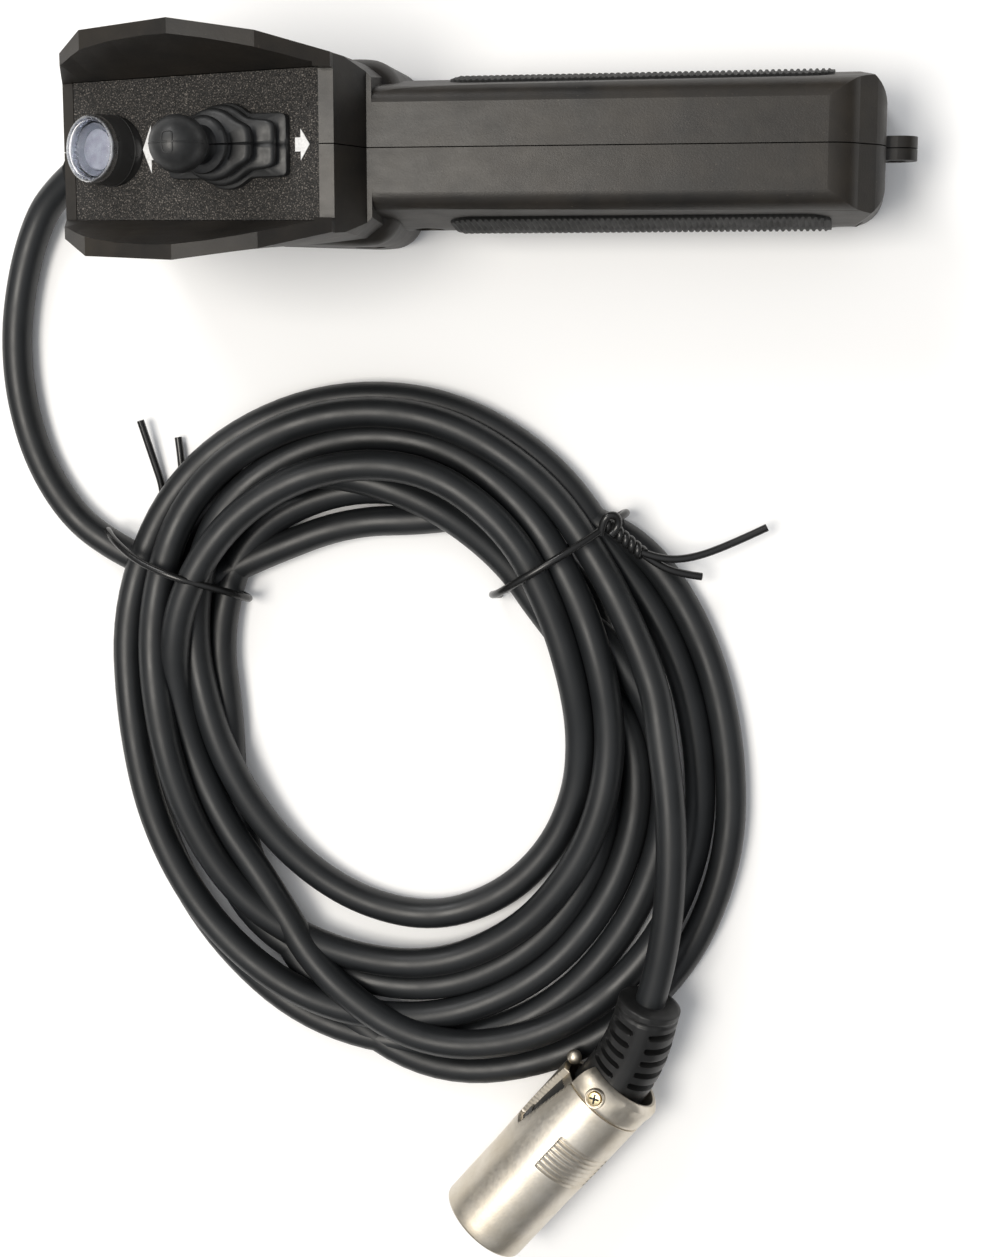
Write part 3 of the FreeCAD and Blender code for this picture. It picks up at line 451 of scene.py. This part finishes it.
def gland():
    way = GLAND_TIP - GLAND_ROOT
    length = way.length / MM
    profile = [(-2.2, 3.1), (-2.2, 5.6), (0.0, 5.6), (0.1, 4.5), (6.8, 4.5), (7.0, 4.9)]
    for i in range(GLAND_RINGS):
        start = 7.6 + i * (length - 8.0) / GLAND_RINGS
        thick = 4.8 - 0.22 * i
        profile += [(start, thick), (start + 1.0, thick - 0.05), (start + 1.15, thick - 0.55),
                    (start + 1.65, thick - 0.6)]
    profile += [(length - 0.2, 3.75), (length, 3.5), (length, 3.02)]
    piece = lathe("gland", GLAND_ROOT, way, profile, "plug_rubber", count=48,
                  caps=(False, False), sharp=40)
    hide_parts("cable_gland")
    return piece


gland_piece = gland()


# ---- Toggle boot, in the panel's own frame: u up the slope, v across, w out of the panel ----
PANEL_SLOPE = 11.1                      # degrees
PANEL_FRAME = Matrix.Translation(mm(-42.9, 0, 40.5)) @ Matrix.Rotation(radians(-PANEL_SLOPE), 4, "Y")
BALL_W, BALL_RADIUS = 18.1, 4.9
# Each plate: its outline (half length, half width, bulge along, bulge across, sharpness of its corners
# and of its joins), then the heights up its edge with how far the edge stands out there
BOOT_PLATES = [
    ((11.8, 5.5, 6.6, 7.45, 16, 26), [(0.02, 0.0), (1.0, 0.0), (1.3, -0.12), (1.42, -0.4)]),
    ((10.6, 4.3, 6.6, 7.0, 8, 9), [(1.5, -0.7), (1.6, -0.9), (2.2, -0.75), (2.6, -0.15), (3.1, 0.0),
                                   (3.6, -0.1), (3.9, -0.45), (4.0, -1.0)]),
    ((7.4, 3.6, 6.0, 6.2, 5, 7), [(4.1, -0.9), (4.3, -1.2), (4.9, -1.1), (5.4, -0.2), (6.1, 0.0),
                                  (6.8, -0.1), (7.2, -0.45), (7.35, -1.0)]),
]
# The last pleat and the neck: height, half length, half width
BOOT_NECK = [(7.5, 4.2, 4.5), (7.9, 3.8, 4.1), (8.5, 4.0, 4.3), (9.0, 4.6, 4.9), (9.7, 4.7, 5.0),
             (10.2, 4.5, 4.8), (10.5, 3.9, 4.2), (10.7, 3.2, 3.4), (11.6, 2.9, 2.9), (12.1, 3.0, 3.0),
             (13.0, 3.1, 3.1), (13.7, 3.3, 3.3)]
BALL_RINGS = 16
BALL_LOW, BALL_STEP = -62, 152 / 16.5   # degrees above the ball's middle: the rings' start and steps
PARTING_GROOVE = 0.22
MARK_RADIUS = 4.93                      # the mark on the cap stands just off the ball


def on_panel(u, v, w):
    return PANEL_FRAME @ mm(u, v, w)


def plate_reach(angle, half_x, half_y, bulge_x, bulge_y, corner, blend):
    """The reach at an angle of a rounded rectangle joined to an oval."""
    c, s = abs(cos(angle)), abs(sin(angle))
    rectangle = ((c / half_x) ** corner + (s / half_y) ** corner) ** (-1 / corner)
    return (rectangle ** blend + oval_reach(angle, bulge_x, bulge_y) ** blend) ** (1 / blend)


def oval_reach(angle, half_x, half_y):
    return 1 / sqrt((cos(angle) / half_x) ** 2 + (sin(angle) / half_y) ** 2)


def lean(w):
    """The rubber boot sits a little askew on its lever, towards the right wing."""
    return -0.9 * smooth_step(w, 3.0, 18.0)


def boot_layers(angles):
    """Heights up the boot, each with its reach at every angle."""
    layers = []
    for outline, edge in BOOT_PLATES:
        layers += [(w, [grow + plate_reach(a, *outline) for a in angles]) for w, grow in edge]
    ovals = list(BOOT_NECK)
    for k in range(1, BALL_RINGS + 1):
        height = radians(BALL_LOW + BALL_STEP * k)
        reach = BALL_RADIUS * cos(height)
        rise = BALL_RADIUS * sin(height) * (1.0 if height > 0 else 0.96)
        ovals.append((BALL_W + rise, reach * 1.02, reach))
    layers += [(w, [oval_reach(a, half_x, half_y) for a in angles]) for w, half_x, half_y in ovals]
    return layers


def toggle_boot():
    """Base plate, three pleats, neck and ball in one skin, with the mould's parting line along it."""
    count = 144
    angles = [2 * pi * j / count for j in range(count)]
    rings = []
    for w, reach in boot_layers(angles):
        ring = []
        for j, (a, r) in enumerate(zip(angles, reach)):
            groove = PARTING_GROOVE if j % (count // 2) == 0 and 0.5 < w < 13.5 else 0.0
            ring.append(on_panel((r - groove) * cos(a), r * sin(a) + lean(w), w - groove))
        rings.append(ring)
    piece = loft("toggle_boot", rings, "boot_rubber", body=None, sharp=40)
    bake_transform(piece)
    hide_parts("boot_flange", "boot_bellows", "boot_cap")


def boot_marks():
    """The mould's parting line over the cap and the small rounded frame on its top."""
    ball = on_panel(0, lean(BALL_W), BALL_W)
    rings = []
    for t in steps(-118, 118, 40):
        out = on_panel(sin(radians(t)), 0, cos(radians(t))) - on_panel(0, 0, 0)
        rings.append([ball + out * BALL_RADIUS + out * h + (on_panel(0, v, 0) - on_panel(0, 0, 0))
                      for h, v in ((-0.2, -0.26), (0.13, -0.08), (0.13, 0.08), (-0.2, 0.26))])
    loft("boot_cap_seam", rings, "boot_rubber", "toggle", sharp=60)
    around = 28
    frame_points = []
    for k in range(around):
        t = 2 * pi * k / around
        u = 0.95 * copysign(abs(cos(t)) ** 0.5, cos(t)) + 0.6
        v = 1.75 * copysign(abs(sin(t)) ** 0.5, sin(t))
        frame_points.append(on_panel(u, v + lean(BALL_W), BALL_W + sqrt(MARK_RADIUS ** 2 - u * u - v * v)))
    rings = []
    for k, point in enumerate(frame_points):
        ahead = (frame_points[(k + 1) % around] - frame_points[k - 1]).normalized()
        out = (point - ball).normalized()
        side = ahead.cross(out).normalized()
        rings.append([point + (side * cos(a) + out * sin(a)) * 0.11 * MM
                      for a in steps(0, 2 * pi * 7 / 8, 7)])
    loft("boot_cap_mark", rings, "boot_rubber", "toggle", loop=True)


toggle_boot()
boot_marks()


# ---- Torch ----
TORCH_AXIS = Vector((-0.42, 0, 0.9075)).normalized()
TORCH_FOOT = mm(-66.7, 0, 35.83)
TORCH_LENGTH = 5.4


def torch_part(name, profile, look, replaced=None, solid=False):
    """A turned piece on the torch's axis: a closed section, or a solid disc with flat ends."""
    piece = lathe(name, TORCH_FOOT, TORCH_AXIS, profile, look, side=Vector((0, 1, 0)),
                  caps=(solid, solid), loop=not solid)
    if replaced:
        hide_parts(replaced)


def torch():
    top = TORCH_LENGTH
    collar = [(-5.0, 4.95), (-5.0, 6.25), (top - 2.2, 6.25), (top - 1.7, 6.05), (top - 1.1, 5.9),
              (top - 1.1, 5.0)]
    torch_part("torch_collar", collar, "collar_plastic", "torch_body")
    rim = [(top - 1.15, 5.25), (top - 1.15, 5.95), (top - 0.3, 6.0), (top + 0.15, 5.9), (top + 0.35, 5.7),
           (top + 0.3, 5.45), (top + 0.05, 5.3)]
    torch_part("torch_rim", rim, "torch_chrome", "torch_ring")
    # The bowl takes torch_satin, a painted reflection standing in for the chrome reflector's shine.
    bowl = [(-1.55, 4.8), (top - 1.1, 4.85)]
    bowl += [(-0.5 + (top - 0.75) * sqrt(t), 1.7 + 2.95 * t) for t in steps(1.0, 0.0, 10)]
    bowl += [(-1.55, 1.65)]
    torch_part("torch_bowl", bowl, "torch_satin", "torch_reflector")
    disc = [(top - 2.5, 3.75), (top - 2.0, 3.7), (top - 1.65, 3.35), (top - 1.4, 2.4), (top - 1.3, 1.0)]
    torch_part("torch_diffuser", disc, "diffuser", "torch_emitter", solid=True)
    dome = [(top - 0.9, 5.2), (top + 0.1, 5.22)]
    dome += [(top + 0.1 + 1.1 * sin(radians(t)), 5.2 * cos(radians(t))) for t in steps(6, 88, 12)]
    dome += [(top - 0.8 + 1.2 * sin(radians(t)), 4.7 * cos(radians(t))) for t in steps(88, 4, 10)]
    torch_part("torch_dome", dome, "lens", "torch_lens")
    line = [(0.35, 6.3), (0.35, 6.42), (0.55, 6.42), (0.55, 6.3)]
    torch_part("torch_collar_ring", line, "collar_plastic")


torch()


# ---- Grip pads ----
PAD_START, PAD_END, PAD_LOW, PAD_HIGH, PAD_CORNER = -6.8, 62.2, 8.6, 27.4, 5.0
RIB_PITCH, RIB_HEIGHT, PER_RIB = 1.1, 0.36, 6      # PER_RIB is the mesh's steps along one rib
PAD_STAND, PAD_BORDER = 0.30, 0.12      # how far the pad and its border stand out of the handle


def side_reach(z):
    """The handle's half width at a height: a straight flank above, a bulge below."""
    if z > 19.0:
        return 13.2 - (z - 19.0) * 2.3 / 12.8
    t = (z - 14.0) / 5.5
    return 13.6 - 0.55 * t * t + 0.12 * t


def pad_lift(border, wave):
    """How far the pad stands out, by the distance from its edge and the place along a rib."""
    if border <= 0:
        return 0.0
    rib = RIB_HEIGHT * smooth_step(abs(wave - 0.5), 0.12, 0.38)
    return PAD_STAND + rib * smooth_step(border, 0.7, 1.1) + PAD_BORDER * (1 - smooth_step(border, 0.7, 1.0))


def grip_pad(name, sign, node):
    """A ribbed pad with round corners. Its outermost points are tucked under the handle's skin."""
    along = int((PAD_END - PAD_START) / RIB_PITCH) * PER_RIB
    across = 24
    rings = []
    for i in range(along + 1):
        x = PAD_START + (PAD_END - PAD_START) * i / along
        edge = min(x - PAD_START, PAD_END - x)
        pull = PAD_CORNER - sqrt(max(PAD_CORNER ** 2 - (PAD_CORNER - min(edge, PAD_CORNER)) ** 2, 0))
        low, high = PAD_LOW + pull, PAD_HIGH - pull
        ring = []
        for j in range(across + 1):
            z = low + (high - low) * (j / across)
            tucked = i in (0, along) or j in (0, across)
            lift = -0.5 if tucked else pad_lift(min(edge, z - low, high - z), (i % PER_RIB) / PER_RIB)
            ring.append(mm(x, sign * (side_reach(z) + lift), z))
        rings.append(ring)
    piece = loft(name, rings, "pad_rubber", caps=(False, False), ring_closed=False, sharp=50)
    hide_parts(node)


grip_pad("pad_left", 1, "grip_pad_left")
grip_pad("pad_right", -1, "grip_pad_right")


# ---- Plug ----
PLUG_REAR, PLUG_FRONT = mm(21.5, -182.9, 9.7), mm(-3.0, -212.3, 9.7)
PLUG_WAY = (PLUG_FRONT - PLUG_REAR).normalized()
PLUG_SIDE = PLUG_WAY.cross(Vector((0, 0, 1))).normalized()
PLUG_LENGTH = (PLUG_FRONT - PLUG_REAR).length / MM
BARREL, BARREL_FRONT = 9.7, 9.5
GRIP_PLACES = ((125.0, 9.3), (305.0, 7.2))      # middle in degrees, and start along the barrel
GRIP_LENGTH, GRIP_PITCH = 8.5, 1.14
SLOT_DEPTH = 1.5


def plug_at(s, angle=0.0, r=0.0):
    out = PLUG_SIDE * cos(radians(angle)) + Vector((0, 0, 1)) * sin(radians(angle))
    return PLUG_REAR + PLUG_WAY * s * MM + out * r * MM


def in_band(value, low, high, edge):
    return smooth_step(value, low, low + edge) * (1 - smooth_step(value, high - edge, high))


def slot_edges(s):
    """The slot's two edges in degrees: it slants round the barrel and narrows a little."""
    return 15 - 1.6 * s, 44 - 1.4 * s


def barrel_radius(s, angle, r):
    """Cuts the two ribbed grips and the long slot into the barrel's outside."""
    if r < 9.0:
        return r
    for middle, start in GRIP_PLACES:
        away = abs((degrees(angle) - middle + 180) % 360 - 180)
        grip = in_band(s, start, start + GRIP_LENGTH, 0.25) * (1 - smooth_step(away, 44.0, 45.5))
        rib = 0.5 + 0.5 * cos(2 * pi * (s - start) / GRIP_PITCH)
        r -= grip * (0.12 + 0.42 * rib)
    turned = (degrees(angle) + 60) % 360 - 60
    slot = (1 - smooth_step(s, 14.8, 15.6)) * in_band(turned, *slot_edges(s), 2.5)
    return r - SLOT_DEPTH * slot


def barrel():
    taper = BARREL - BARREL_FRONT
    profile = [(0.9, 8.4), (0.9, BARREL - 0.1)]
    profile += [(s, BARREL - taper * smooth_step(s, 12.0, 24.0)) for s in steps(1.0, 24.0, 160)]
    profile += [(s, BARREL_FRONT) for s in steps(25, PLUG_LENGTH - 0.5, 8)]
    profile += [(PLUG_LENGTH - 0.15, 9.42), (PLUG_LENGTH, 9.25), (PLUG_LENGTH, 8.95),
                (PLUG_LENGTH - 0.2, 8.75), (PLUG_LENGTH - 17.0, 8.7), (PLUG_LENGTH - 17.0, 8.0)]
    piece = lathe("plug_barrel", PLUG_REAR, PLUG_WAY, profile, "nickel", side=PLUG_SIDE, change=barrel_radius,
                  count=240, caps=(False, False), loop=True, sharp=40)
    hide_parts("plug_shell")
    return piece


def slot_painted_shade():
    """A black strip on the slot's floor: painted shade and painted reflection that darken the slot."""
    # A dark sheet that paints the slot's shade and the coil's reflection into it.
    rings = []
    for s in steps(1.0, 15.0, 28):
        low, high = slot_edges(s)
        inner = [plug_at(s, a, 8.0) for a in steps(high - 2, low + 2, 6)]
        outer = [plug_at(s, a, 8.36) for a in steps(low + 2, high - 2, 6)]
        rings.append(inner + outer)
    return loft("plug_slot_painted_shade", rings, "insert_plastic", sharp=40)


def clamp_ring():
    """A rolled band round the boot, split at the slot and flared into a lip on the side away from it."""
    outline = [(0.9, 7.4), (0.9, 9.3), (0.6, 9.6), (-0.2, 9.72), (-1.4, 9.6), (-2.6, 9.3), (-3.6, 8.8),
               (-4.3, 8.2), (-4.7, 7.6), (-4.6, 7.1), (-4.0, 6.9), (-2.5, 7.2)]
    rings = []
    for angle in steps(44.0, 302.0, 120):
        flare = smooth_step(angle, 92, 135) * (1 - smooth_step(angle, 215, 262))
        fold = 0.55 * (smooth_step(angle, 100, 118) - smooth_step(angle, 128, 150))
        ring = []
        for s, r in outline:
            back = smooth_step(-s, 0.9, 4.0)
            pinch = fold * (smooth_step(-s, 0.6, 1.6) - smooth_step(-s, 2.4, 3.6))
            ring.append(plug_at(s - 0.5 * flare * back, angle, r + 1.2 * flare * back - pinch))
        rings.append(ring)
    piece = loft("plug_band", rings, "nickel", sharp=40)
    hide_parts("plug_clamp_ring")
    return piece


def clamp_end():
    """The stud at the far side of the split."""
    rings = []
    for t in steps(-90, 90, 14):
        r = 1.35 * cos(radians(t)) + 0.02
        centre = plug_at(-1.0 + 1.5 * sin(radians(t)), -6, 9.0)
        out = (plug_at(0, -6, 1) - plug_at(0, 0, 0)).normalized()
        side = PLUG_WAY.cross(out).normalized()
        rings.append([centre + (out * cos(a) * 1.1 + side * sin(a)) * r * MM
                      for a in steps(0, 2 * pi * 23 / 24, 23)])
    return loft("plug_band_stud", rings, "nickel")


SCREW_ANGLE, SCREW_DISTANCE = 78.0, -1.2


def clamp_screw():
    """Cross-head screw sunk in a raised rim; its cross is two black bars, painted shade in the recess."""
    base = plug_at(SCREW_DISTANCE, SCREW_ANGLE, 9.0)
    way = (plug_at(SCREW_DISTANCE, SCREW_ANGLE, 10.0) - base).normalized()
    profile = [(0.0, 2.05), (0.85, 2.0), (1.05, 1.85), (1.0, 1.66), (0.3, 1.55)]
    rim = lathe("plug_screw_rim", base, way, profile, "nickel", count=48)
    profile = [(0.2, 1.5), (0.75, 1.45), (1.0, 1.25), (1.1, 0.7)]
    head = lathe("plug_screw_head", base, way, profile, "contact_brass", count=48)
    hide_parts("plug_screw")
    # The cross is drawn as two black bars across the head: painted shade where the recess is.
    cross_shade = []
    top = base + way * 1.14 * MM
    for turn in (0.5, 0.5 + pi / 2):
        side = PLUG_WAY * cos(turn) + way.cross(PLUG_WAY) * sin(turn)
        across = side.cross(way)
        rings = []
        for x, wide in ((-1.0, 0.1), (-0.8, 0.2), (0.8, 0.2), (1.0, 0.1)):
            rings.append([top + (side * x + across * w + way * h) * MM
                          for w, h in ((-wide, 0), (wide, 0), (wide * 0.5, -0.3), (-wide * 0.5, -0.3))])
        cross_shade.append(loft(f"plug_screw_cross_shade_{len(cross_shade)}", rings, "collar_plastic"))
    return [rim, head, *cross_shade]


BOOT_SLOTS = 5                          # in each row
SLOTS_FROM, SLOTS_SPAN = 0.255, 0.635   # the rows' start and length as shares of the boot
BOOT_LENGTH = 25.0
SLOT_ROWS = ((-9, 75), (104, 160))      # each row's edges in degrees, the same on both faces
BOOT_TIP, BOOT_TIP_AHEAD = mm(30.9, -162.0, 14.1), mm(32.4, -156.4, 14.9)


def boot_line():
    """The plug boot's centreline: out of the clamp ring, then bent towards the lead."""
    start, end = plug_at(1.0), BOOT_TIP
    end_way = (BOOT_TIP_AHEAD - end).normalized()
    reach = (end - start).length
    a, b = start - PLUG_WAY * reach * 0.45, end - end_way * reach * 0.35
    line = []
    for t in steps(0.0, 1.0, 170):
        u = 1 - t
        place = start * u ** 3 + a * 3 * u * u * t + b * 3 * u * t * t + end * t ** 3
        way = (a - start) * u * u + (b - a) * 2 * u * t + (end - b) * t * t
        line.append((t, place, way.normalized()))
    return line


def slot_cut(row, degree, r):
    """How deep a slot goes at a place, from 0 to 1. row counts slots along the boot; their ends are round."""
    cut = 0.0
    for low, high in SLOT_ROWS:
        middle, half = (low + high) / 2, (high - low) / 2
        end = (half - abs(degree - middle)) * radians(1) * r
        if 0 <= row < BOOT_SLOTS and end > 0:
            width = 0.62 * sqrt(max(0.0, 1 - max(0.0, 1 - end / 0.7) ** 2))
            off = abs(row % 1.0 - 0.5) * SLOTS_SPAN / BOOT_SLOTS * BOOT_LENGTH
            if width > 0:
                cut = max(cut, 1 - smooth_step(off, width * 0.80, width * 1.15))
    return cut


def plug_boot():
    """Tapered rubber boot, cut across by short rounded slots in two rows on each face."""
    count = 144
    rings = []
    for t, place, way in boot_line():
        side = way.cross(Vector((0, 0, 1))).normalized()
        up = side.cross(way).normalized()
        r = 6.8 - 0.55 * smooth_step(t, 0.2, 1.0)
        r -= 0.9 * smooth_step(t, 0.985, 1.0)
        r -= 0.25 * (smooth_step(t, 0.90, 0.915) - smooth_step(t, 0.93, 0.945))
        row = (t - SLOTS_FROM) / SLOTS_SPAN * BOOT_SLOTS
        ring = []
        for j in range(count):
            angle = 2 * pi * j / count
            ridge = 0.22 * (1 - smooth_step(abs((degrees(angle) + 1) % 180 - 90.5), 6, 20))
            cut = 1.6 * slot_cut(row, (degrees(angle) + 12) % 180 - 12, r)
            ring.append(place + (side * cos(angle) + up * sin(angle)) * (r + ridge - cut) * MM)
        rings.append(ring)
    piece = loft("plug_boot_slotted", rings, "plug_rubber", sharp=45)
    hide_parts("plug_boot")
    return piece


plug_pieces = [barrel(), slot_painted_shade(), clamp_ring(), clamp_end(), *clamp_screw(), plug_boot()]


# ---- Ties ----
TWIST_STEPS = 10                        # points for each turn of a twist
WIRE = 0.75                             # radius


def twisted(start, end, turns, radius):
    """Two strands of wire wound round each other between two points, in mm."""
    start, end = Vector(start), Vector(end)
    way = (end - start).normalized()
    side = way.orthogonal().normalized()
    up = way.cross(side)
    strands = []
    for phase in (0, pi):
        strand = []
        for i in range(turns * TWIST_STEPS + 1):
            angle = phase + 2 * pi * i / TWIST_STEPS
            middle = start.lerp(end, i / (turns * TWIST_STEPS))
            strand.append(tuple(middle + (side * cos(angle) + up * sin(angle)) * radius))
        strands.append(strand)
    return strands


def tie_pieces():
    left_band = [(-77.6, -77.0, 1.2), (-81.6, -73.4, 3.2), (-81.2, -72.0, 6.6), (-78.2, -74.0, 10.6),
                 (-72.0, -77.6, 14.2), (-64.0, -80.4, 16.0), (-56.8, -82.6, 13.4), (-52.4, -84.6, 9.4),
                 (-51.6, -86.0, 4.6), (-55.0, -85.2, 1.0), (-66.0, -81.4, 0.9), (-77.0, -76.6, 1.0)]
    left_ends = [
        [(-75.4, -77.6, 0.9), (-71.4, -71.0, 0.9), (-70.8, -64.6, 1.0), (-72.4, -58.4, 2.2),
         (-74.6, -50.3, 3.4)],
        [(-73.6, -78.6, 0.9), (-68.6, -70.0, 0.9), (-66.8, -63.0, 1.0), (-66.8, -58.0, 1.6),
         (-67.4, -53.7, 1.4)],
    ]
    right_band = [(-1.4, -84.2, 1.0), (-2.4, -83.6, 6.0), (0.0, -82.6, 12.6), (5.0, -79.4, 16.6),
                  (11.4, -75.5, 17.2), (17.6, -71.6, 14.4), (22.4, -68.2, 10.4), (24.6, -66.8, 5.0),
                  (22.6, -67.8, 1.2), (12.0, -74.6, 0.9), (-0.6, -83.4, 0.9)]
    knot, knot_end = (21.0, -68.6, 11.0), (27.8, -74.4, 9.8)
    loop = [(20.2, -70.6, 12.2), (20.6, -67.2, 13.4), (23.2, -66.6, 12.6), (23.6, -69.2, 11.4),
            (22.0, -70.8, 12.0)]
    right_ends = [
        [(27.0, -73.8, 10.0), (30.8, -75.4, 9.4), (36.5, -75.5, 8.2), (43.6, -73.1, 6.6), (51.2, -69.4, 5.2)],
        [(27.0, -73.8, 9.4), (30.0, -76.2, 8.8), (34.4, -78.3, 7.8), (39.0, -79.0, 6.4)],
    ]
    left = [spline_object("tie_left_band", left_band, WIRE, "tie_wire")]
    left += [spline_object(f"tie_left_end_{i}", p, WIRE, "tie_wire") for i, p in enumerate(left_ends)]
    right = [spline_object("tie_right_band", right_band, WIRE, "tie_wire"),
             spline_object("tie_right_loop", loop, WIRE, "tie_wire")]
    right += [spline_object(f"tie_right_twist_{i}", p, WIRE, "tie_wire")
              for i, p in enumerate(twisted(knot, knot_end, 3, WIRE))]
    right += [spline_object(f"tie_right_end_{i}", p, WIRE, "tie_wire") for i, p in enumerate(right_ends)]
    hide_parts("tie_left")
    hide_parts("tie_right")
    return left + right


ties = tie_pieces()


# ---- Floor and light ----
FLOOR_HALF, FLOOR_Z = 3, -0.0002        # metres; a hair below the object, so that their faces don't meet


def floor():
    mesh = bpy.data.meshes.new("floor")
    corners = [(FLOOR_HALF * x, FLOOR_HALF * y, FLOOR_Z) for x, y in ((-1, -1), (1, -1), (1, 1), (-1, 1))]
    mesh.from_pydata(corners, [], [(0, 1, 2, 3)])
    n = Nodes("floor_white")
    white = n.mix(n.noise(0.002, 2.0), (0.92, 0.925, 0.935), (0.95, 0.95, 0.95))
    n.link(white, n.shader.inputs["Base Color"])
    n.shader.inputs["Roughness"].default_value = 0.6
    n.shader.inputs["Specular IOR Level"].default_value = 0.2
    n.shader.inputs["Emission Color"].default_value = (1, 1, 1, 1)
    n.shader.inputs["Emission Strength"].default_value = 0.03
    mesh.materials.append(n.material)
    sheet = bpy.data.objects.new("floor", mesh)
    bpy.context.scene.collection.objects.link(sheet)


def area_light(name, place, aim, size, power, colour):
    data = bpy.data.lights.new(name, "AREA")
    data.shape, data.size, data.size_y = "RECTANGLE", size[0], size[1]
    data.energy, data.color = power, colour
    lamp = bpy.data.objects.new(name, data)
    lamp.location = place
    lamp.rotation_euler = (Vector(aim) - Vector(place)).to_track_quat("-Z", "Y").to_euler()
    bpy.context.scene.collection.objects.link(lamp)


def sky():
    """A studio that is dark round the sides, bright overhead, and brighter at the left than at the right."""
    world = bpy.data.worlds.new("studio")
    world.use_nodes = True
    tree = world.node_tree
    way = tree.nodes.new("ShaderNodeTexCoord").outputs["Generated"]
    axes = tree.nodes.new("ShaderNodeSeparateXYZ")
    tree.links.new(way, axes.inputs[0])
    levels = []
    for axis, span, level in (("Z", (0.25, 0.92), (0.08, 0.86)), ("X", (-0.9, 0.7), (1.05, 0.78))):
        ramp = tree.nodes.new("ShaderNodeMapRange")
        ramp.inputs["From Min"].default_value, ramp.inputs["From Max"].default_value = span
        ramp.inputs["To Min"].default_value, ramp.inputs["To Max"].default_value = level
        tree.links.new(axes.outputs[axis], ramp.inputs["Value"])
        levels.append(ramp.outputs[0])
    product = tree.nodes.new("ShaderNodeMath")
    product.operation = "MULTIPLY"
    tree.links.new(levels[0], product.inputs[0])
    tree.links.new(levels[1], product.inputs[1])
    background = tree.nodes["Background"]
    background.inputs["Color"].default_value = (0.95, 0.97, 1.0, 1)
    tree.links.new(product.outputs[0], background.inputs["Strength"])
    bpy.context.scene.world = world


floor()
sky()
area_light("overhead", (-0.33, -0.06, 1.1), (-0.12, -0.06, 0), (0.54, 0.44), 8.8, (1.0, 0.95, 0.87))
area_light("window", (-0.55, 0.95, 0.85), (0, -0.05, 0), (0.5, 0.4), 5, (1.0, 0.99, 0.98))
bpy.context.scene.view_settings.view_transform = "Standard"
